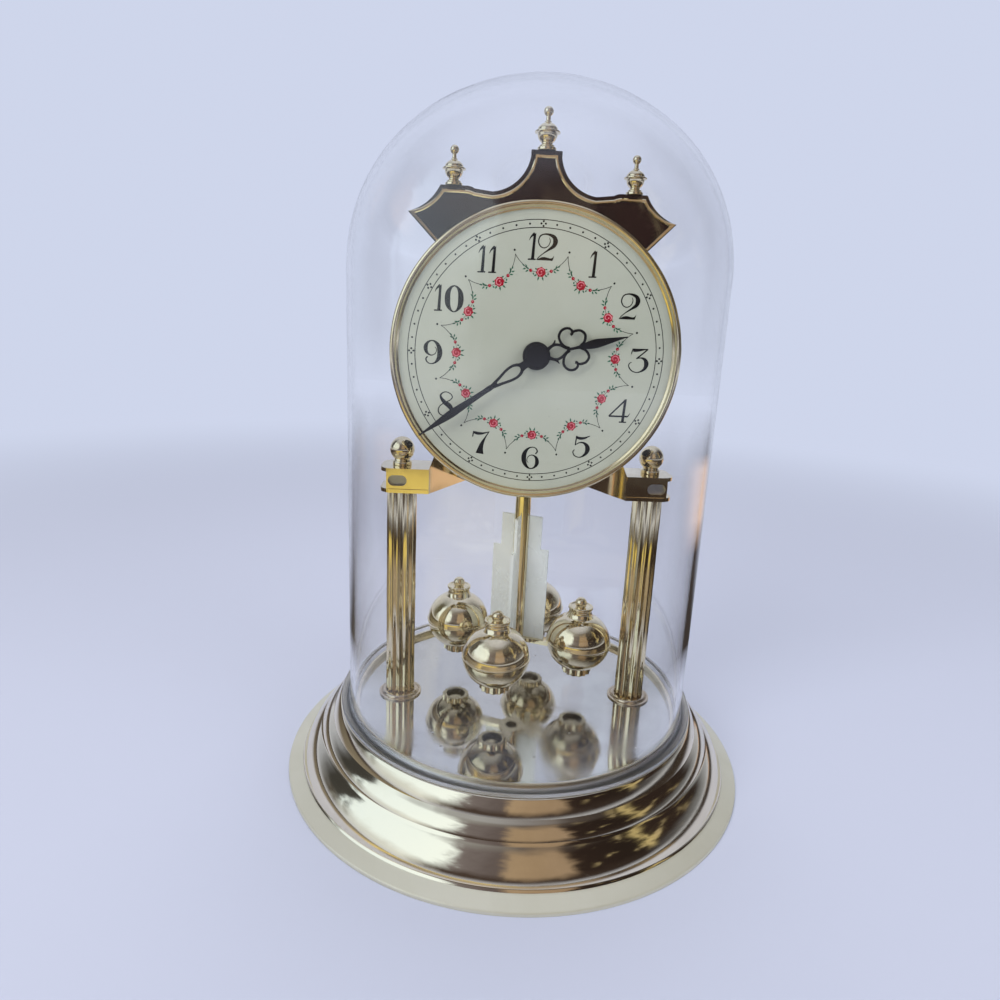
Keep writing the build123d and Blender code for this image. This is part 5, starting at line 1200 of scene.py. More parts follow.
@dataclass
class Dome:
    """Clear dome with a foot flange."""

    radius: float = 61.2
    wall: float = 1.6
    foot: float = 23.5
    flange_radius: float = 64.2
    flange_top: float = 24.9
    fillet: float = 2.2
    spring: float = 172.9
    top: float = 230.0
    rings: int = 24
    arc_steps: int = 36

    def cap(self, radius: float, top: float) -> Array:
        """Draws two arcs from the upright wall to the axis.

        The upper arc has radius R = r² / (top - spring) and its centre on the axis; the lower
        one starts upright and meets it where both have the same slope.

        Args:
            radius: Radius of the wall.
            top: Height of the cap's middle.

        Returns:
            Rows of radius and height from the wall to the axis.
        """
        crown = radius**2 / (top - self.spring)
        drop = self.spring - top + crown
        side = (crown**2 - radius**2 - drop**2) / (2 * (crown - radius))
        turn = math.atan2(drop, radius - side)
        low = np.linspace(0, turn, self.arc_steps + 1)
        high = np.linspace(turn, math.pi / 2, self.arc_steps + 1)[1:]
        lower = np.stack([radius - side + side * np.cos(low), self.spring + side * np.sin(low)], axis=1)
        upper = np.stack([crown * np.cos(high), top - crown + crown * np.sin(high)], axis=1)
        upper[-1, 0] = 0
        return np.vstack([lower, upper])

    def build(self) -> None:
        """Makes the dome, which lifts off the base.

        Its profile runs up the outside to the axis, then on from the inner top down the bore.
        """
        inner = self.radius - self.wall
        root = self.flange_top + self.fillet
        foot = Outline().to(inner, self.foot, 0.3).to(self.flange_radius, self.foot, 0.3)
        foot.to(self.flange_radius, self.flange_top, 0.35).to(self.radius + 0.9, self.flange_top)
        foot.arc((self.radius + 0.3, self.flange_top + 0.7), (self.radius, root), 8)
        levels = np.linspace(root + 4, self.spring - 4, self.rings)
        wall = np.stack([np.full(self.rings, self.radius), levels], axis=1)
        bore = np.stack([np.full(self.rings, inner), levels[::-1]], axis=1)
        hollow = self.cap(inner, self.top - self.wall)[::-1]
        loop = np.vstack([hollow, bore, foot.drawn(closed=False), wall, self.cap(self.radius, self.top)])
        looks = {"slot": Slot.DOME, "finishes": (CLEAR,), "crease": 45}
        place("clear_dome", lathe(loop, 256), ("dome",), body=Body.DOME, **looks)


@dataclass
class Columns:
    """Two fluted columns with their foot flanges and ball finials."""

    radius: float = 5.2
    bore: float = 2.7
    bottom: float = 23.3
    top: float = 100.8
    flutes: int = 14
    flute_depth: float = 0.62
    flute_steps: int = 14
    rod_hole: float = 1.9
    flange_bottom: float = 22.5
    flange_top: float = 23.9
    flange_radius: float = 7.8
    finial_foot: float = 109.2
    finial_centre: float = 114.6
    finial_radius: float = 4.28
    finial_neck: float = 3.3
    finial_waist: float = 2.7

    def column(self) -> Surface:
        """Turns the fluted tube: the flutes fade at neither end, and its rims are softened.

        Returns:
            The skin on the Z axis.
        """
        line = Outline().to(self.bore, self.bottom, 0.15).to(self.radius, self.bottom, 0.15)
        line.to(self.radius, self.top, 0.15).to(self.bore, self.top, 0.15)
        profile = line.drawn(steps=2)
        depth = np.where(profile[:, 0] > self.bore + 1, self.flute_depth, 0)
        return lathe(profile, self.flutes * self.flute_steps, self.flutes, depth, 1.6)

    def flange(self) -> Surface:
        """Turns the thin ring: a flat rim, a groove and a low step round the tube.

        Returns:
            The skin on the Z axis.
        """
        hole, rim, foot = self.rod_hole, self.flange_radius, self.flange_bottom
        line = Outline().to(hole, foot).to(rim, foot, 0.15).to(rim, 23.1, 0.25)
        line.to(7.0, 23.2, 0.1).to(6.8, 23.0, 0.1).to(6.6, 23.5, 0.2)
        line.to(6.2, self.flange_top, 0.25).to(5.3, self.flange_top, 0.1)
        line.to(5.3, self.bottom).to(hole, self.bottom)
        return lathe(line.drawn(), 96)

    def finial(self) -> Surface:
        """Turns the ball nut: stepped neck and a ball, closed over the rod's end.

        Returns:
            The skin on the Z axis.
        """
        waist, centre, radius = self.finial_waist, self.finial_centre, self.finial_radius
        line = Outline().to(0, self.finial_foot).to(self.finial_neck, self.finial_foot, 0.2)
        line.to(self.finial_neck, 110.5, 0.35).to(waist + 0.1, 110.9, 0.2)
        line.to(waist, centre - math.sqrt(radius**2 - waist**2))
        line.arc((radius * math.cos(0.3), centre - radius * math.sin(0.3)), (0, centre + radius), 34)
        return lathe(to_axis(line), 72)

    def build(self) -> None:
        """Makes the columns, flanges and ball finials."""
        for side, skin in zip(("left", "right"), at_columns(self.column())):
            place(f"{side}_fluted_column", skin, (f"{side}_column",), crease=40)
        place("turned_flanges", joined(at_columns(self.flange())), ("column_flanges",), finishes=(DULL_GOLD,))
        place("ball_nuts", joined(at_columns(self.finial())), ("ball_finials",))


@dataclass
class SlotPlates:
    """Plates behind the slots of the bridge's end blocks."""

    x: float = 44.1
    height: float = 105.0
    back: float = 6.7
    front: float = 7.8
    half_length: float = 3.45
    half_height: float = 2.1

    def build(self) -> None:
        """Makes one plate with round ends behind each slot."""
        end, top, straight = self.half_length, self.half_height, self.half_length - self.half_height
        line = Outline().to(-end, 0).arc((0.62 - end, 1.48), (-straight, top), 8)
        line.to(straight, top).arc((end - 0.62, 1.48), (end, 0), 8)
        rail = line.drawn(closed=False)
        rail[0, 1] = rail[-1, 1] = 0.02
        plate = strip(rail, rail * np.array([1, -1]), self.back, self.front, 0.1)
        both = joined([plate.moved(side * self.x, self.height - DIAL_HEIGHT) for side in SIDES])
        place("slot_plates", both.on_dial(), finishes=(STEEL,), crease=30)


@dataclass
class Bezel:
    """Turned gold ring round the dial."""

    outer: float = 46.3
    seat: float = 44.45
    crest: float = 45.1
    lip: float = 43.6
    front: float = 14.9
    back: float = 11.0

    def build(self) -> None:
        """Makes the ring with a bright rolled rim and a slope down to the dial."""
        line = Outline().to(self.seat, DIAL_FACE).to(self.seat, self.back, 0.1).to(self.outer, self.back, 0.3)
        line.to(self.outer, 13.9, 0.2).arc((self.outer - 0.35, 14.6), (self.crest, self.front), 12)
        line.to(44.6, 14.65, 0.2).to(44.3, 13.6, 0.3).to(self.lip, 13.2, 0.15).to(self.lip, DIAL_FACE)
        place("gold_bezel", lathe(line.drawn(), 288).on_dial(), ("bezel",), finishes=(DEEP_GOLD,), crease=40)


@dataclass
class Crown:
    """Dark crown panel with a bead and three urns."""

    back: float = 7.8
    face: float = 11.0
    bead_rise: float = 0.5
    bead_width: float = 1.0
    bead_top: float = 58.75
    bead_shoulder: float = 47.7
    inner: float = 40.5
    top: float = 60.5
    shoulder: float = 49.4
    tip: tuple[float, float] = (41.35, 41.45)
    urn_x: float = 27.7
    urn_y: float = 9.4
    middle_urn: float = 1.09
    ball_radius: float = 1.36
    ball_centre: float = 10.14
    ball_neck: float = 0.65

    def edge(self) -> Array:
        """Right half of the top edge, from its middle out to the tip.

        Returns:
            Rows of x and y above the dial's middle.
        """
        line = Outline().to(0, self.top).to(4.7, self.top, 0.25).to(4.7, 58.6)
        line.arc((8.05, 52.0), (15.9, 48.2), 22)
        line.arc((18.9, 48.5), (21.3, 48.8), 6).arc((22.8, 49.35), (24.2, self.shoulder), 5)
        line.to(31.6, self.shoulder, 0.25).arc((35.4, 44.5), self.tip, 16)
        return line.drawn(closed=False)

    def panel(self) -> Surface:
        """Plate between the top edge and an arc inside the bezel.

        The rails are the top edge and the arc. A point at share s of the edge's length faces
        the arc's point at 90 - 45 s degrees.

        Returns:
            The plate's skin, in the dial's frame.
        """
        right = self.edge()
        reach = np.concatenate([[0], np.cumsum(np.linalg.norm(np.diff(right, axis=0), axis=1))])
        angle = math.pi / 2 - reach / reach[-1] * math.pi / 4
        arc = self.inner * np.stack([np.cos(angle), np.sin(angle)], axis=1)
        return strip(mirrored(right), mirrored(arc), self.back, self.face, 0.25)

    def bead(self) -> Surface:
        """Raised line inside the edge, down both ends to the bezel.

        Its own path keeps one inset from the top edge, with sharp corners at the top, the
        shoulders and the tips.

        Returns:
            The bead's skin, in the dial's frame.
        """
        line = Outline().to(0, self.bead_top).to(3.0, self.bead_top).arc((6.75, 50.85), (15.85, 46.5), 22)
        line.arc((18.8, 46.8), (21.4, 47.1), 6).arc((22.95, 47.6), (24.35, self.bead_shoulder), 5)
        line.to(30.8, self.bead_shoulder).arc((34.6, 43.6), (40.05, 41.2), 14).to(31.7, 32.85)
        path = mirrored(line.drawn(closed=False))
        side = sideways(path) * self.bead_width / 2
        return strip(path + side, path - side, self.face - 0.1, self.face + self.bead_rise, 0.28)

    def urn(self, size: float) -> Surface:
        """Turns an urn: plinth, thick stem, bowl, thin ring, bell, neck and ball.

        Args:
            size: Scale of the urn.

        Returns:
            The skin on the Z axis, with its plinth's foot at z = 0.
        """
        line = Outline().to(0, -1).to(0.8, -1).to(0.8, 0).to(2.65, 0, 0.15).to(2.65, 0.8, 0.2)
        line.to(2.2, 0.95, 0.1).to(2.15, 1.35, 0.15).to(1.6, 1.6, 0.2).to(1.55, 2.1, 0.3).to(2.2, 2.6, 0.4)
        line.to(2.7, 3.5, 0.5).to(2.85, 4.45, 0.1).to(3.55, 4.6, 0.12).to(3.55, 5.0, 0.15)
        line.to(2.9, 5.15, 0.15).to(2.75, 5.9, 0.5)
        line.to(1.9, 6.8, 0.5).to(1.0, 7.2, 0.3).to(0.95, 7.55, 0.1).to(0.68, 7.75, 0.2).to(0.6, 8.8, 0.2)
        radius, centre, neck = self.ball_radius, self.ball_centre, self.ball_neck
        line.to(neck, centre - math.sqrt(radius**2 - neck**2))
        line.arc((radius * math.cos(0.2), centre + radius * math.sin(0.2)), (0, centre + radius), 20)
        return lathe(to_axis(line) * size, 56)

    def build(self) -> None:
        """Makes the panel, its bead and the urns."""
        x, rise = self.urn_x, self.shoulder
        spots = ((-x, rise, 1), (0, self.top, self.middle_urn), (x, rise, 1))
        urns = [self.urn(size).moved(x, -self.urn_y, DIAL_HEIGHT + rise) for x, rise, size in spots]
        panel = self.panel().on_dial()
        place("crown_panel", panel, ("crown",), slot=Slot.PANEL, finishes=(PANEL,), crease=30)
        place("crown_bead", self.bead().on_dial(), crease=40)
        place("urn_finials", joined(urns), ("crown_finials",), crease=40)


class Ink(Enum):
    """Colours of the dial's print, by the print's finish number."""

    BLACK = 0
    CRIMSON = 1
    PINK = 2
    GREEN = 3


@dataclass
class Glyph:
    """One numeral in pen strokes and solid shapes, in the pen's own units with y down.

    Attributes:
        strokes: Paths of x, y and width.
        solids: Pairs of rails that close a shape between them.
        middle: Place of its middle in x.
    """

    strokes: list[list[tuple[float, float, float]]] = field(default_factory=list)
    solids: list[tuple[list[tuple[float, float]], list[tuple[float, float]]]] = field(default_factory=list)
    middle: float = 210


SIX_STROKE = [
    (262, 150, 8), (278, 125, 10), (265, 95, 8), (230, 82, 7), (190, 95, 12), (158, 135, 22), (148, 190, 26),
    (160, 245, 22), (190, 285, 14), (225, 297, 8), (262, 280, 14), (282, 240, 22), (275, 195, 18),
    (250, 168, 10), (220, 162, 7), (190, 180, 6), (180, 215, 5), (195, 240, 4),
]
NINE_STROKE = [(430 - x, 379 - y, width) for x, y, width in SIX_STROKE]

GLYPHS = {
    "0": Glyph(strokes=[[
        (215, 69, 8), (245, 85, 14), (271, 130, 25), (277, 186, 28), (271, 242, 25), (245, 287, 14),
        (215, 303, 8),
        (185, 287, 14), (159, 242, 25), (153, 186, 28), (159, 130, 25), (185, 85, 14), (215, 69, 8),
    ]], middle=215),
    "1": Glyph(
        strokes=[
            [(240, 68, 14), (215, 90, 10), (200, 110, 6), (192, 130, 3)], [(186, 296, 7), (258, 294, 7)],
        ],
        solids=[([(228, 86), (222, 190), (215, 292)], [(252, 62), (248, 180), (244, 292)])], middle=232,
    ),
    "2": Glyph(
        strokes=[[
            (240, 100, 4), (250, 130, 6), (235, 170, 6), (200, 190, 7), (165, 180, 7), (145, 150, 8),
            (143, 120, 8),
            (160, 85, 8), (200, 70, 9), (245, 75, 14), (285, 95, 20), (298, 130, 24), (285, 170, 20),
            (240, 205, 12),
            (190, 240, 7), (150, 275, 6), (132, 298, 5),
        ]],
        solids=[(
            [(132, 298), (165, 278), (200, 270), (235, 276), (262, 280), (280, 272), (293, 254)],
            [(133, 300), (165, 300), (200, 300), (235, 300), (262, 300), (281, 298), (294, 256)],
        )], middle=220,
    ),
    "3": Glyph(
        strokes=[
            [(152, 78, 6), (138, 130, 5)], [(298, 76, 7), (245, 124, 7), (195, 168, 7)],
            [
                (190, 170, 5), (235, 160, 9), (275, 175, 18), (293, 215, 24), (280, 260, 18), (240, 290, 10),
                (195, 298, 7), (150, 280, 8), (125, 245, 8), (128, 218, 7), (148, 205, 6),
            ],
        ],
        solids=[(
            [(148, 74), (200, 74), (250, 73), (301, 72)], [(158, 106), (200, 103), (240, 93), (299, 77)],
        )], middle=212,
    ),
    "4": Glyph(
        strokes=[
            [(262, 75, 9), (188, 156, 8), (113, 236, 8)], [(112, 236, 9), (288, 236, 9)],
            [(215, 292, 7), (288, 292, 7)],
        ],
        solids=[
            ([(250, 70), (243, 180), (236, 292)], [(275, 66), (269, 180), (263, 292)]),
            ([(268, 234), (298, 226), (318, 200)], [(268, 241), (300, 241), (320, 202)]),
        ], middle=220,
    ),
    "5": Glyph(
        strokes=[
            [(162, 84, 8), (158, 130, 7), (154, 178, 7)],
            [
                (155, 176, 5), (190, 152, 8), (230, 150, 12), (265, 175, 20), (278, 215, 25), (262, 260, 18),
                (225, 290, 10), (190, 297, 7), (150, 280, 8), (135, 245, 8), (150, 222, 6),
            ],
        ],
        solids=[(
            [(160, 86), (200, 94), (245, 92), (293, 78)], [(162, 112), (200, 121), (245, 113), (295, 84)],
        )], middle=210,
    ),
    "6": Glyph(strokes=[SIX_STROKE], middle=215),
    "7": Glyph(
        strokes=[
            [(118, 76, 7), (108, 132, 6)],
            [(268, 78, 6), (235, 130, 10), (205, 190, 22), (190, 240, 30), (181, 296, 42)],
        ],
        solids=[(
            [(113, 73), (160, 82), (210, 85), (272, 73)], [(120, 98), (150, 110), (200, 107), (272, 80)],
        )], middle=195,
    ),
    "8": Glyph(strokes=[[
        (255, 86, 7), (215, 68, 7), (175, 76, 8), (155, 110, 13), (192, 165, 22), (240, 200, 26),
        (262, 240, 20),
        (240, 285, 9), (195, 298, 7), (150, 280, 8), (135, 245, 8), (150, 205, 7), (195, 170, 7),
        (245, 145, 7),
        (268, 115, 7), (255, 86, 7),
    ]], middle=203),
    "9": Glyph(strokes=[NINE_STROKE], middle=215),
}


@dataclass
class DialPrint:
    """Print on the dial: numerals, minute track and a garland of roses."""

    level: float = DIAL_FACE
    sunk: float = 0.05
    ink: float = 0.03
    layer_step: float = 0.012
    track_outer: float = 40.7
    track_inner: float = 38.4
    track_line: float = 0.23
    dot_reach: float = 39.55
    minute_dot: float = 0.32
    hour_dot: float = 0.33
    hour_gap: float = 0.68
    numeral_reach: float = 32.8
    pen: float = 0.0333
    pen_middle: float = 183.0
    pen_weight: float = 1.15
    pen_swell: float = 0.7
    rose_reach: float = 25.4
    rose_radius: float = 1.62
    rose_depth: float = 0.26
    petals: int = 7
    bud_x: float = 3.2
    peak_reach: float = 31.5
    peak_dot_reach: float = 32.7
    peak_dot: float = 0.34

    @property
    def back(self) -> float:
        """Height of the print's back, a little inside the paint."""
        return self.level - self.sunk

    def front(self, layer: int = 0) -> float:
        """Height of the print's face in a layer."""
        return self.level + self.ink + self.layer_step * layer

    def dot(self, x: float, y: float, radius: float, layer: int = 0, sides: int = 10) -> Surface:
        """Prints a dot with a softened rim.

        Args:
            x: Place of its middle to the right.
            y: Place of its middle upwards.
            radius: Its radius.
            layer: Its layer.
            sides: How many steps there are round it.

        Returns:
            The dot's skin.
        """
        back, front = self.back, self.front(layer)
        line = Outline().to(0, back).to(radius, back).to(radius, front, (front - back) / 2).to(0, front)
        return lathe(line.drawn(closed=False, steps=3), sides).moved(x, y)

    def rose(self) -> Surface:
        """Prints a flower whose rim goes in between its petals: q = r - depth · |cos(petals · a / 2)|.

        Returns:
            Its skin, with the middle at the origin.
        """
        back, front, radius = self.back, self.front(1), self.rose_radius
        line = Outline().to(0, back).to(radius, back).to(radius, front).to(0, front)
        cut = np.array([0, self.rose_depth, self.rose_depth, 0])
        return lathe(line.drawn(closed=False, steps=1), self.petals * 6, self.petals, cut, 2)

    def brushed(self, knots: Rows, steps: int, layer: int = 0) -> Surface:
        """Printed stroke in a layer."""
        return stroke(knots, self.back, self.front(layer), steps)

    def ring(self, radius: float) -> Surface:
        """Thin printed circle.

        Args:
            radius: Radius of the middle of its line.

        Returns:
            The circle's skin.
        """
        inner, outer = radius - self.track_line / 2, radius + self.track_line / 2
        back, front = self.back, self.front()
        line = Outline().to(inner, back).to(outer, back).to(outer, front).to(inner, front)
        return lathe(line.drawn(steps=1), 288)

    @staticmethod
    def around(skin: Surface, start: float = 0) -> list[Surface]:
        """Twelve copies of a skin at equal turns, clockwise from the top."""
        return [skin.turned(-start - 30 * k) for k in range(12)]

    def track(self) -> list[Surface]:
        """Two circles, a dot for each minute and four dots for each hour.

        Returns:
            Their skins.
        """
        minute = self.dot(0, self.dot_reach, self.minute_dot)
        gaps = ((-self.hour_gap, 0), (self.hour_gap, 0), (0, -self.hour_gap), (0, self.hour_gap))
        hour = joined([self.dot(x, self.dot_reach + y, self.hour_dot) for x, y in gaps])
        parts = [self.ring(self.track_outer), self.ring(self.track_inner)]
        return parts + [minute.turned(-6 * k) for k in range(60) if k % 5] + self.around(hour)

    def glyph(self, name: str, x: float, y: float) -> list[Surface]:
        """Draws one numeral, upright.

        A stroke of width w becomes w (weight + swell · w / widest) wide, so that its thick
        parts gain more than its thin ones.

        Args:
            name: The digit.
            x: Place of its middle to the right.
            y: Place of its middle upwards.

        Returns:
            Skins of its strokes and solid shapes.
        """
        drawn = GLYPHS[name]

        def put(points: Rows) -> Array:
            """Takes the pen's units to the dial.

            Args:
                points: Rows of x and y, and of a width where it is a stroke.

            Returns:
                The same rows on the dial.
            """
            values = np.array(points, dtype=float)
            values[:, 0] = x + (values[:, 0] - drawn.middle) * self.pen
            values[:, 1] = y - (values[:, 1] - self.pen_middle) * self.pen
            if values.shape[1] > 2:
                width = values[:, 2:] * self.pen
                swell = self.pen_swell * width / max(width.max(), THINNEST)
                values[:, 2:] = width * (self.pen_weight + swell)
            return values

        parts = [self.brushed(put(path), 7) for path in drawn.strokes]
        for left, right in drawn.solids:
            parts.append(strip(flowing(put(left), 5), flowing(put(right), 5), self.back, self.front(1)))
        return parts

    def numerals(self) -> list[Surface]:
        """Draws the hours 1 to 12, upright, on one circle.

        Returns:
            Skins of all strokes.
        """
        spread = {10: (-2.7, 1.9), 11: (-1.65, 1.65), 12: (-2.75, 1.35)}
        parts = []
        for hour in range(1, 13):
            angle = math.radians(30 * hour)
            x, y = self.numeral_reach * math.sin(angle), self.numeral_reach * math.cos(angle)
            for digit, shift in zip(str(hour), spread.get(hour, (0,))):
                parts += self.glyph(digit, x + shift, y)
        return parts

    def leaves(self) -> list[Surface]:
        """Draws the leaves round the rose and along the two half tendrils.

        Returns:
            Their skins, at the top of the dial.
        """
        reach = self.rose_reach
        leaves = []
        for turn, long in ((200, 1.1), (160, 1.1), (122, 0.85), (238, 0.85), (62, 0.5), (298, 0.5)):
            leaf = self.brushed([(0, 1.45, 0.12), (0.05, 1.95, 0.5), (0, 1.6 + long, 0.05)], 3)
            leaves.append(leaf.turned(turn).moved(0, reach))
        tendril = (
            (3.8, 0.75, -60, 1.15), (3.9, 0.5, -125, 1.0), (4.5, 1.15, -20, 1.0), (4.7, 0.9, -105, 0.95),
            (5.2, 1.6, -50, 0.8), (2.4, -0.2, 160, 0.7),
        )
        for side in SIDES:
            for x, y, turn, long in tendril:
                leaf = self.brushed([(0, 0, 0.08), (0.04, long * 0.45, 0.48), (0, long * 1.1, 0.05)], 3)
                leaves.append(leaf.turned(side * turn).moved(side * x, reach + y))
        return leaves

    def spray(self) -> dict[Ink, list[Surface]]:
        """Draws one garland unit at the top: rose, buds, leaves and the two half tendrils.

        Returns:
            Its skins by their ink.
        """
        reach, bud = self.rose_reach, self.bud_x
        crimson = [self.rose().turned(8).moved(0, reach)]
        crimson += [self.dot(side * bud, reach + 0.4, 0.52, 1, 12) for side in SIDES]
        swirl = (
            (0.95, 0.4, 0.16), (0.4, 1.0, 0.3), (-0.6, 0.75, 0.3), (-1.0, -0.15, 0.26), (-0.3, -0.9, 0.24),
            (0.45, -0.4, 0.14),
        )
        pink = [self.brushed([(x, y + reach, width) for x, y, width in swirl], 4, 2)]
        pink += [self.dot(0.15, reach + 0.12, 0.24, 3, 8)]
        pink += [self.dot(side * bud + 0.14, reach + 0.52, 0.16, 2, 8) for side in SIDES]
        climb = ((1.0, 0, 0.1), (2.6, 0.2, 0.12), (4.4, 1.1, 0.15), (6.2, 2.6, 0.17), (7.4, 3.9, 0.17))
        peak_x, peak_y = self.peak_reach * math.sin(math.pi / 12), self.peak_reach * math.cos(math.pi / 12)
        vines = []
        for side in SIDES:
            vine = [(side * x, reach + y, width) for x, y, width in climb]
            vines.append(self.brushed([*vine, (side * peak_x, peak_y, 0.18)], 5))
        return {Ink.BLACK: vines, Ink.CRIMSON: crimson, Ink.PINK: pink, Ink.GREEN: self.leaves()}

    def build(self) -> None:
        """Makes the print as one piece with four inks."""
        groups = {ink: [] for ink in Ink}
        groups[Ink.BLACK] += self.track() + self.numerals()
        groups[Ink.BLACK] += self.around(self.dot(0, self.peak_dot_reach, self.peak_dot), 15)
        for ink, parts in self.spray().items():
            groups[ink] += self.around(joined(parts))
        skins = [joined(parts).painted(True, ink.value) for ink, parts in groups.items()]
        finishes = (INK_BLACK, INK_CRIMSON, INK_PINK, INK_GREEN)
        place("dial_print", joined(skins).on_dial(), slot=Slot.DIAL, finishes=finishes, crease=30)


@dataclass
class Hands:
    """Black hour and minute hands, drawn along their own length."""

    hour_back: float = 14.6
    minute_back: float = 16.5
    thickness: float = 0.5
    hour_angle: float = 75.8
    minute_angle: float = 234.2
    edge: float = 0.12
    collar_drop: float = 0.7
    collar_rise: float = 0.75

    def laid(self, skin: Surface, angle: float) -> Surface:
        """Turns a hand drawn along +X to its place on the dial."""
        return skin.turned(90 - angle).on_dial()

    def pen(self, knots: Rows, back: float, side: int = 1) -> Surface:
        """Stroke of a hand at its own height, as drawn or on the other side."""
        rows = [(x, side * y, width) for x, y, width in knots]
        return stroke(rows, back, back + self.thickness, 7, self.edge)

    def boss(self, radius: float, back: float, rise: float, bore: float) -> Surface:
        """Low round boss with a softened rim and a hole.

        Args:
            radius: Radius of the boss.
            back: Height of its back face.
            rise: Its thickness.
            bore: Radius of its hole.

        Returns:
            The boss's skin.
        """
        top = back + rise
        line = Outline().to(bore, back).to(radius, back).to(radius, top, 0.25).to(bore, top, 0.1)
        return lathe(line.drawn(), 64)

    def hour(self) -> Surface:
        """Draws the hour hand: boss, S-shaped arms with spurs, two scrolled hearts and a leaf blade.

        Returns:
            The hand's skin along +X.
        """
        back = self.hour_back
        arm = (
            (3.4, 1.0, 1.3), (4.8, 1.9, 1.0), (6.2, 2.3, 0.9), (7.8, 1.9, 0.85), (9.3, 0.9, 0.9),
            (10.4, 0.3, 1.1),
        )
        spur = ((5.4, 2.2, 0.7), (6.1, 2.8, 0.65), (6.6, 3.7, 0.25))
        heart = (
            (10.6, 0.4, 0.8), (9.2, 1.2, 0.8), (8.2, 2.7, 0.8), (8.0, 4.6, 0.8), (9.2, 6.2, 0.8),
            (11.0, 6.5, 0.8), (12.2, 5.7, 0.75), (12.2, 4.6, 0.8), (11.6, 4.3, 0.95),
        )
        scroll = (
            (12.3, 4.9, 0.8), (13.2, 5.2, 0.8), (14.9, 5.0, 0.8), (16.1, 3.8, 0.8), (16.1, 2.5, 0.8),
            (15.4, 1.2, 0.8), (14.2, 0.4, 0.9),
        )
        blade = (
            (9.8, 0, 1.1), (12.5, 0, 0.9), (14.6, 0, 1.5), (16.4, 0, 2.3), (19.0, 0, 2.8), (22.0, 0, 2.2),
            (26.0, 0, 1.1), (29.3, 0, 0.25),
        )
        parts = [self.boss(4.2, back, self.thickness, 2.52)]
        for side in SIDES:
            parts += [self.pen(path, back, side) for path in (arm, spur, heart, scroll)]
        return joined([*parts, self.pen(blade, back)])

    def minute(self) -> Surface:
        """Draws the minute hand: domed boss, drop-shaped loop and a long leaf blade.

        Returns:
            The hand's skin along +X.
        """
        back = self.minute_back
        top = back + self.thickness
        cap = Outline().to(0, back).to(3.75, back).to(3.75, back + 0.25, 0.2).to(3.1, top, 0.3).to(0, top)
        neck = ((3.0, 0, 2.9), (4.6, 0, 2.5), (6.4, 0, 2.9))
        loop = (
            (5.8, 0.6, 1.1), (7.0, 1.5, 0.9), (8.6, 1.9, 0.8), (10.6, 1.75, 0.8), (13.4, 1.05, 0.85),
            (16.6, 0.3, 1.0),
        )
        blade = (
            (15.0, 0, 0.9), (17.6, 0, 1.7), (20.0, 0, 1.6), (24.0, 0, 1.8), (29.0, 0, 2.3), (32.8, 0, 2.5),
            (37.0, 0, 1.8), (41.0, 0, 1.0), (44.95, 0, 0.3),
        )
        collar = self.boss(2.7, back - self.collar_drop, self.collar_rise, 1.5)
        loops = [self.pen(loop, back, side) for side in SIDES]
        cap_skin = lathe(cap.drawn(closed=False), 64)
        return joined([cap_skin, collar, self.pen(neck, back), *loops, self.pen(blade, back)])

    def build(self) -> None:
        """Makes both hands at the time that they show."""
        looks = {"slot": Slot.BLACK, "finishes": (HAND_BLACK,), "crease": 35}
        hour = self.laid(self.hour(), self.hour_angle)
        place("scrolled_hour_hand", hour, ("hour_hand",), body=Body.HOUR, **looks)
        minute = self.laid(self.minute(), self.minute_angle)
        place("leaf_minute_hand", minute, ("minute_hand",), body=Body.MINUTE, **looks)


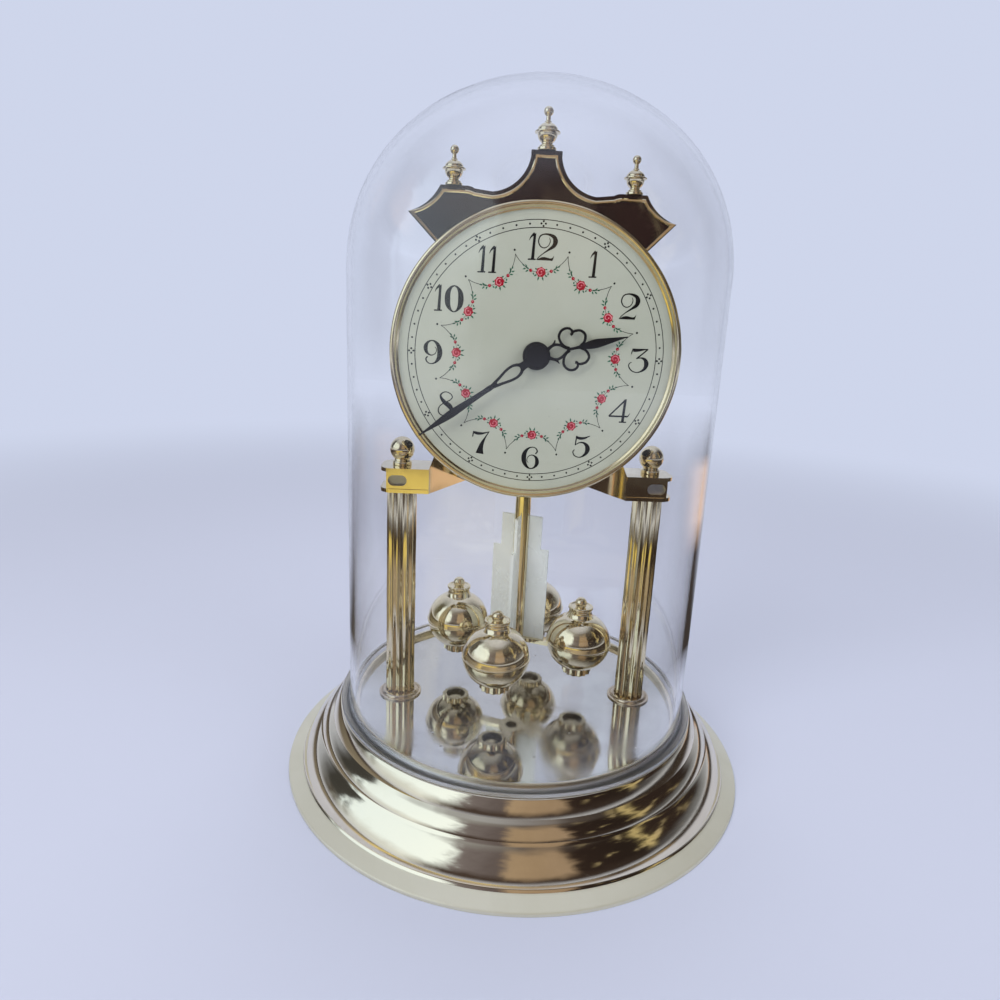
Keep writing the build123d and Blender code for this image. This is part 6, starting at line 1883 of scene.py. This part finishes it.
@dataclass
class Pendulum:
    """Turning pendulum: tube, vanes and four balls with collars, nubs and feet."""

    y: float = 6.4
    turn: float = -20.6
    orbit: float = 24.1
    ball_height: float = 44.9
    ball_radius: float = 11.75
    ball_half: float = 11.0
    seam: float = 0.22
    seam_half: float = 0.38
    seam_root: float = 0.45
    flutes: int = 14
    flute_steps: int = 12
    flute_depth: float = 0.5

    def cross(self, skin: Surface) -> Surface:
        """Four copies of a skin that is drawn round a ball's middle."""
        out = skin.moved(self.orbit, 0, self.ball_height)
        return joined([out.turned(self.turn + 90 * k).moved(0, self.y) for k in range(4)])

    def ball(self) -> Surface:
        """Turns a ball of two slightly flattened shells with a raised seam band.

        Returns:
            The skin round its own middle.
        """
        radius, rise, eighth = self.ball_radius, self.ball_radius + self.seam, math.pi / 4
        root = self.seam_root / radius
        line = Outline().to(0, -radius).arc(polar(radius, -eighth), polar(radius, -root), 44)
        line.to(rise, -self.seam_half, 0.06).to(rise, self.seam_half, 0.06).to(*polar(radius, root))
        line.arc(polar(radius, eighth), (0, radius), 44)
        profile = line.drawn(closed=False, steps=3)
        profile[:, 1] *= self.ball_half / radius
        profile[0, 0] = profile[-1, 0] = 0
        return lathe(profile, 112)

    def collar(self) -> Surface:
        """Turns the waisted collar with a rolled rim and a dish.

        Returns:
            The skin above the ball's middle.
        """
        line = Outline().to(0, 9.4).to(5.5, 9.45).to(4.7, 10.3, 0.6).to(4.2, 11.3, 0.5).to(4.1, 12.4, 0.4)
        line.to(4.5, 13.0, 0.2).to(4.5, 13.75, 0.25).to(4.0, 13.95, 0.2).to(3.3, 13.4, 0.3).to(0, 13.25)
        return lathe(line.drawn(closed=False), 72)

    def nub(self) -> Surface:
        """Round knob in the dish."""
        line = Outline().to(0, 13.0).to(1.9, 13.0).to(1.75, 13.57, 0.15).arc((2.2, 14.9), (0, 17.1), 20)
        return lathe(to_axis(line), 48)

    def foot(self) -> Surface:
        """Turns the fluted ring below the ball, hollow underneath.

        Returns:
            The skin below the ball's middle, with its hollow in the second finish, painted black as shade.
        """
        line = Outline().to(0, -10.5).to(3.4, -10.5, 0.3).to(3.7, -12.3, 0.2).to(5.35, -12.3, 0.25)
        line.to(5.35, -9.5, 0.1).to(4.9, -9.3).to(0, -9.3)
        profile = line.drawn(closed=False)
        depth = np.where(profile[:, 0] > 5.0, self.flute_depth, 0)
        skin = lathe(profile, self.flutes * self.flute_steps, self.flutes, depth, 2.2)
        x, y, height = skin.centres().T
        # painted shade: the hollow under the foot is painted black
        return skin.painted((np.hypot(x, y) < 3.65) & (height < -10), 1)

    def build(self) -> None:
        """Makes the balls and what stands on and under them."""
        # the second finish is painted shade in the feet's hollows
        body, finishes = Body.PENDULUM, (GOLD, UNDERSIDE_BLACK_AND_HOLLOW_SHADE)
        place("polished_balls", self.cross(self.ball()), ("pendulum_balls",), body=body, crease=24)
        place("dished_collars", self.cross(self.collar()), ("ball_collars",), body=body)
        place("collar_nubs", self.cross(self.nub()), ("ball_nubs",), body=body)
        place("fluted_feet", self.cross(self.foot()), ("ball_feet",), body=body, finishes=finishes)


@dataclass
class CarriedNodes:
    """Nodes of the frame that stay and get their finishes."""

    special: dict[str, Finish] = field(
        default_factory=lambda: {"pendulum_vanes": VANE_SHEET, "bush_nut": HAND_BLACK}
    )

    def dress(self) -> None:
        """Gives each node the finish of its slot, or its own."""
        for name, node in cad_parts.items():
            for slot in node.material_slots:
                slot_name = slot.material.name.split(".")[0]
                finish = self.special.get(name, CARRIED_FINISHES[slot_name])
                slot.material = finish.material()
        log.info("dressed %d nodes of the frame", len(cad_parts))


# Studio


Bands = Sequence[tuple[float, Colour]]

SCREEN_MIDDLE = (
    (-128, (0.32, 0.36, 0.45)), (-112, (0.05, 0.05, 0.05)), (-94, (0.06, 0.06, 0.06)),
    (-88, (0.95, 1.12, 1.28)),
    (-36, (1.05, 1.2, 1.32)), (-27, (0.2, 0.18, 0.2)), (-8, (0.13, 0.11, 0.12)), (-2, (0.42, 0.32, 0.23)),
    (24, (0.36, 0.27, 0.2)), (30, (0.03, 0.02, 0.018)), (62, (0.022, 0.016, 0.014)), (67, (0.62, 0.52, 0.27)),
    (71, (0.03, 0.02, 0.018)), (108, (0.03, 0.022, 0.02)), (128, (0.26, 0.28, 0.34)),
)
SCREEN_LOW = (
    (-128, (0.3, 0.34, 0.42)), (-100, (0.1, 0.09, 0.08)), (-84, (0.7, 0.78, 0.86)), (-50, (0.8, 0.86, 0.9)),
    (-34, (0.07, 0.05, 0.045)), (20, (0.05, 0.035, 0.03)), (60, (0.03, 0.022, 0.02)), (128, (0.3, 0.33, 0.4)),
)
SCREEN_HIGH = (
    (-128, (0.3, 0.33, 0.4)), (-80, (0.5, 0.56, 0.64)), (-30, (0.32, 0.33, 0.36)), (10, (0.13, 0.11, 0.11)),
    (70, (0.06, 0.05, 0.05)), (128, (0.28, 0.3, 0.36)),
)
CARD_FAR = (
    (-128, (0.05, 0.035, 0.03)), (-88, (0.03, 0.02, 0.018)), (-66, (0.16, 0.12, 0.07)),
    (-44, (0.9, 0.74, 0.24)),
    (-9, (0.9, 0.74, 0.24)), (8, (0.04, 0.028, 0.024)), (88, (0.02, 0.015, 0.012)),
    (128, (0.05, 0.035, 0.03)),
)
CARD_CLOSE = (
    (-128, (0.06, 0.05, 0.045)), (-70, (0.3, 0.27, 0.22)), (-52, (0.85, 0.7, 0.3)), (-42, (0.3, 0.26, 0.2)),
    (-14, (0.5, 0.42, 0.3)), (22, (0.34, 0.27, 0.2)), (36, (0.06, 0.045, 0.04)), (52, (0.3, 0.23, 0.14)),
    (62, (0.04, 0.03, 0.025)), (128, (0.05, 0.04, 0.035)),
)
DAPPLE_GOLD = (0.55, 0.46, 0.28)
CARD_GREY = (0.09, 0.08, 0.075)
CARD_PEACH = (0.8, 0.56, 0.42)


@dataclass
class Studio:
    """Pale floor, soft lamps, two cards that only mirrored rays see, and the camera."""

    floor_radius: float = 3200.0
    floor_inner: float = 0.02
    floor_drop: float = 0.02
    backdrop: Colour = (0.62, 0.67, 0.83)
    floor_colour: Colour = (0.56, 0.59, 0.73)
    ambient_colour: Colour = (0.95, 0.97, 1.0)
    ambient: float = 0.42
    band_half: float = 128.0
    card_half: float = 150.0
    screen_radius: float = 1500.0
    card_inner: float = 96.0
    card_outer: float = 1480.0
    card_height: float = 0.6
    lamp_aim: Spot = (0.0, 0.0, 110.0)
    focal: float = 707.46
    picture_width: float = 1000.0
    sensor: float = 36.0
    eye: Spot = (-19.65, -242.07, 160.46)
    yaw: float = 0.0446
    pitch: float = 0.2564
    roll: float = -0.0459

    def staged(self, name: str, skin: Surface, material: Material) -> bpy.types.Object:
        """Makes a piece of the studio, which isn't part of the clock.

        Args:
            name: The piece's name.
            skin: Its skin, in millimetres.
            material: Its material.

        Returns:
            The new object.
        """
        mesh = bpy.data.meshes.new(name)
        faces = [[corner for corner in face if corner >= 0] for face in skin.faces.tolist()]
        mesh.from_pydata((skin.points * MM).tolist(), [], faces)
        mesh.polygons.foreach_set("use_smooth", np.ones(len(mesh.polygons), dtype=bool))
        mesh.materials.append(material)
        made = linked(name, mesh)
        return made

    def floor_material(self) -> Material:
        """Pale paint near the clock, going over to the backdrop's own light further out.

        Returns:
            The material.
        """
        made, wiring = fresh_material("studio floor")
        paint = {"Roughness": 0.55, "Specular IOR Level": 0.0, "Base Color": self.floor_colour}
        wiring.feed(wiring.shader, paint)
        inputs = {0: self.distance(wiring, wiring.places()), 1: 0.3, 2: 0.85}
        far = wiring.node("MapRange", inputs, interpolation_type="SMOOTHSTEP").outputs[0]
        wiring.shown(far, wiring.shader, wiring.node("Emission", {"Color": self.backdrop}))
        return made

    def floor(self) -> None:
        """Makes the round floor: a grid of rings whose radius grows with the square of the row."""
        angle = np.linspace(0, TURN, 96, endpoint=False)
        radius = self.floor_radius * np.linspace(self.floor_inner, 1, 40)[:, None] ** 2
        rings = circled(radius, angle, -self.floor_drop)
        self.staged("studio_floor", sheet(rings, True, (0, 0, -self.floor_drop)), self.floor_material())

    def card(self, name: str, places: Array, material: Material) -> None:
        """Makes a card that is seen only in bright metal.

        Args:
            name: The card's name.
            places: A grid of places, in an array of rows, columns and x, y, z.
            material: Its material.
        """
        made = self.staged(name, sheet(places), material)
        made.visible_camera = False
        made.visible_diffuse = False
        made.visible_shadow = False

    @staticmethod
    def distance(wiring: Wiring, place: Socket) -> Socket:
        """Distance of a place from the origin, in metres."""
        return wiring.node("VectorMath", {0: place}, operation="LENGTH").outputs["Value"]

    @staticmethod
    def bearing(wiring: Wiring, place: Socket) -> tuple[Socket, Socket]:
        """Azimuth of a place, from the front to the right, and its height."""
        x, y, z = wiring.apart(place)
        return wiring.sums("ARCTAN2", x, wiring.times(y, -1.0)), z

    @staticmethod
    def wander(wiring: Wiring, place: Socket, *pattern: float) -> Socket:
        """Soft random pattern about zero."""
        return wiring.sums("SUBTRACT", wiring.noise(place, *pattern), 0.5)

    @staticmethod
    def cover(wiring: Wiring, azimuth: Socket, start: float, end: float) -> Socket:
        """Full cover in front, gone between two azimuths in degrees on either side."""
        return wiring.span(wiring.sums("ABSOLUTE", azimuth), math.radians(start), math.radians(end), 1.0, 0.0)

    def banded(self, wiring: Wiring, azimuth: Socket, bands: Bands) -> Socket:
        """Colours round the front.

        Args:
            wiring: The material's wiring.
            azimuth: Azimuth from the front, in radians.
            bands: Azimuths in degrees, from left to right, and the colour at each.

        Returns:
            The colour.
        """
        half = math.radians(self.band_half)
        ramp = wiring.node("ValToRGB", {0: wiring.span(azimuth, -half, half)})
        elements = ramp.color_ramp.elements
        for _ in range(len(bands) - 2):
            elements.new(0.5)
        for element, (degrees, colour) in zip(elements, bands):
            element.position = (degrees + self.band_half) / (2 * self.band_half)
            element.color = opaque(colour)
        return ramp.outputs[0]

    @staticmethod
    def mirrored_only(wiring: Wiring, colour: Socket, cover: Socket) -> None:
        """Shows a card's glow in bright surfaces and leaves it clear to every other look.

        Args:
            wiring: The material's wiring.
            colour: Colour of the glow.
            cover: How much of the glow shows.
        """
        depth = wiring.node("LightPath").outputs["Glossy Depth"]
        share = wiring.times(wiring.sums("GREATER_THAN", depth, 0.5), cover)
        wiring.shown(share, wiring.node("BsdfTransparent"), wiring.node("Emission", {"Color": colour}))

    def screen_material(self) -> Material:
        """A room in front of the clock: a window on the left, warm walls, then dark furniture.

        Three rings of colours, low, middle and high, go over into each other by elevation, and
        golden dapples lie on the dark right. The glow fades at the sides, the floor and the top.

        Returns:
            The material.
        """
        made, wiring = fresh_material("reflection screen")
        spot = wiring.places()
        azimuth, height = self.bearing(wiring, spot)
        wobble = self.wander(wiring, spot, 2.6, 5, 0.6, 0.8)
        grain = self.wander(wiring, spot, 30.0, 3, 0.6)
        across = wiring.scaled(grain, 0.14, wiring.scaled(wobble, 0.42, azimuth))
        up = wiring.scaled(wobble, 0.35, height)
        middle = self.banded(wiring, across, SCREEN_MIDDLE)
        cloud = wiring.noise(wiring.shifted(spot, start=(2.3, 0.7, 1.1)), 4.2, 4, 0.62)
        right = wiring.times(wiring.span(azimuth, 0.6, 0.75), wiring.span(azimuth, 1.5, 1.9, 1.0, 0.0))
        middle = wiring.blended(wiring.times(wiring.span(cloud, 0.57, 0.66), right), middle, DAPPLE_GOLD)
        colour = wiring.blended(wiring.span(up, 0.16, 0.36), self.banded(wiring, across, SCREEN_LOW), middle)
        high = self.banded(wiring, across, SCREEN_HIGH)
        colour = wiring.blended(wiring.span(up, 1.0, 1.22), colour, high)
        level = wiring.span(height, -0.03, 0.12)
        ceiling = wiring.span(height, 1.2, 1.47, 1.0, 0.0)
        cover = wiring.times(wiring.times(self.cover(wiring, azimuth, 108, 146), level), ceiling)
        self.mirrored_only(wiring, colour, cover)
        return made

    def screen(self) -> None:
        """Makes the reflection screen in front of the clock.

        A point at azimuth a and elevation e is R (cos e sin a, -cos e cos a, sin e).
        """
        azimuth = np.radians(np.linspace(-self.card_half, self.card_half, 113))
        elevation = np.radians(np.linspace(-1, 89, 35))[:, None]
        level = np.cos(elevation)
        shares = np.broadcast_arrays(level * np.sin(azimuth), -level * np.cos(azimuth), np.sin(elevation))
        places = self.screen_radius * np.stack(shares, axis=-1)
        self.card("reflection_screen", places, self.screen_material())

    def low_card_material(self) -> Material:
        """What lies on the table round the clock: warm at the front left, dark on the right.

        Colours go over from a close ring to a far one and then to grey, with one peach patch
        on the right, and the glow fades close to the clock, far from it and at the sides.

        Returns:
            The material.
        """
        made, wiring = fresh_material("low card")
        spot = wiring.places()
        azimuth, _ = self.bearing(wiring, spot)
        length = self.distance(wiring, spot)
        wobble = self.wander(wiring, spot, 7.0, 4, 0.6, 0.6)
        far = self.banded(wiring, wiring.scaled(wobble, 0.5, azimuth), CARD_FAR)
        close = self.banded(wiring, wiring.scaled(wobble, 0.8, azimuth), CARD_CLOSE)
        colour = wiring.blended(wiring.span(length, 0.25, 0.36), close, far)
        colour = wiring.blended(wiring.span(length, 0.48, 0.62), colour, CARD_GREY)
        patch = wiring.times(wiring.span(length, 0.3, 0.4), wiring.span(length, 0.62, 0.72, 1.0, 0.0))
        patch = wiring.times(patch, wiring.span(azimuth, math.radians(100), math.radians(116)))
        colour = wiring.blended(patch, colour, CARD_PEACH)
        near = wiring.span(wiring.scaled(wobble, 0.05, length), 0.112, 0.14)
        outer = wiring.span(length, 0.6, 1.25, 1.0, 0.0)
        cover = wiring.times(wiring.times(near, outer), self.cover(wiring, azimuth, 128, 146))
        self.mirrored_only(wiring, colour, cover)
        return made

    def low_card(self) -> None:
        """Makes the ring on the floor round the clock."""
        azimuth = np.radians(np.linspace(-self.card_half, self.card_half, 76))
        reach = np.geomspace(self.card_inner, self.card_outer, 12)[:, None]
        places = circled(reach, azimuth - math.pi / 2, self.card_height)
        self.card("low_card", places, self.low_card_material())

    def lamps(self) -> None:
        """Makes three soft area lamps: key from the left, fill from the right and one above."""
        plan = (
            ("key", (-650, -620, 640), 620, 5.6, (1.0, 0.985, 0.97)),
            ("fill", (760, -520, 420), 700, 2.8, (0.97, 0.98, 1.0)),
            ("top", (60, 260, 900), 700, 3.6, (1.0, 1.0, 1.0)),
        )
        for name, spot, size, power, colour in plan:
            light = bpy.data.lights.new(f"{name}_lamp", "AREA")
            light.shape = "DISK"
            light.size = size * MM
            light.energy = power
            light.color = colour
            made = linked(light.name, light)
            back = np.array(spot, dtype=float) - np.array(self.lamp_aim)
            back /= np.linalg.norm(back)
            right = np.cross((0, 0, 1), back)
            right /= np.linalg.norm(right)
            made.matrix_world = self.framed(right, np.cross(back, right), back, spot)
            made.visible_glossy = False
            made.visible_transmission = False

    @staticmethod
    def framed(right: Array, top: Array, back: Array, spot: Sequence[float]) -> Matrix:
        """Matrix of something at a place, from the directions of its right, its top and its back."""
        rows = np.stack([right, top, back, np.array(spot) * MM], axis=1)
        return Matrix([*rows.tolist(), (0, 0, 0, 1)])

    def world(self) -> None:
        """Makes the backdrop's light for what is seen, and softer light for what is lit."""
        world = bpy.data.worlds.new("studio")
        bpy.context.scene.world = world
        world.use_nodes = True
        wiring = Wiring(world.node_tree)
        ray = wiring.node("LightPath").outputs
        seen = wiring.sums("MAXIMUM", ray["Is Camera Ray"], ray["Is Glossy Ray"])
        seen = wiring.sums("MAXIMUM", seen, ray["Is Transmission Ray"])
        colour = wiring.blended(seen, self.ambient_colour, self.backdrop)
        strength = wiring.span(seen, 0, 1, self.ambient, 1.0)
        wiring.feed(world.node_tree.nodes["Background"], {"Color": colour, "Strength": strength})

    def camera(self) -> None:
        """Makes the camera at the photograph's place, with its three angles and focal length.

        The view runs along (sin yaw cos pitch, cos yaw cos pitch, -sin pitch), and the picture
        is turned by the roll about it.
        """
        sin_yaw, cos_yaw, cos_pitch = math.sin(self.yaw), math.cos(self.yaw), math.cos(self.pitch)
        forward = np.array([sin_yaw * cos_pitch, cos_yaw * cos_pitch, -math.sin(self.pitch)])
        right = np.array([cos_yaw, -sin_yaw, 0.0])
        down = np.cross(forward, right)
        level = math.cos(self.roll) * right + math.sin(self.roll) * down
        drop = -math.sin(self.roll) * right + math.cos(self.roll) * down
        data = bpy.data.cameras.new("photo_camera")
        data.sensor_fit = "HORIZONTAL"
        data.sensor_width = self.sensor
        data.lens = self.focal * self.sensor / self.picture_width
        data.clip_start = 0.005
        made = linked("photo_camera", data)
        made.matrix_world = self.framed(level, -drop, -forward, self.eye)
        bpy.context.scene.camera = made

    def build(self) -> None:
        """Sets the studio up."""
        bpy.context.scene.view_settings.view_transform = "Standard"
        self.floor()
        self.screen()
        self.low_card()
        self.lamps()
        self.world()
        self.camera()


def main() -> None:
    """Builds the clock piece by piece, then the studio."""
    logging.basicConfig(level=logging.INFO, format="%(name)s: %(message)s")
    CarriedNodes().dress()
    for assembly in (Base, Dome, Columns, SlotPlates, Bezel, Crown, DialPrint, Hands, Pendulum):
        assembly().build()
    Studio().build()


if __name__ == "__main__":
    main()
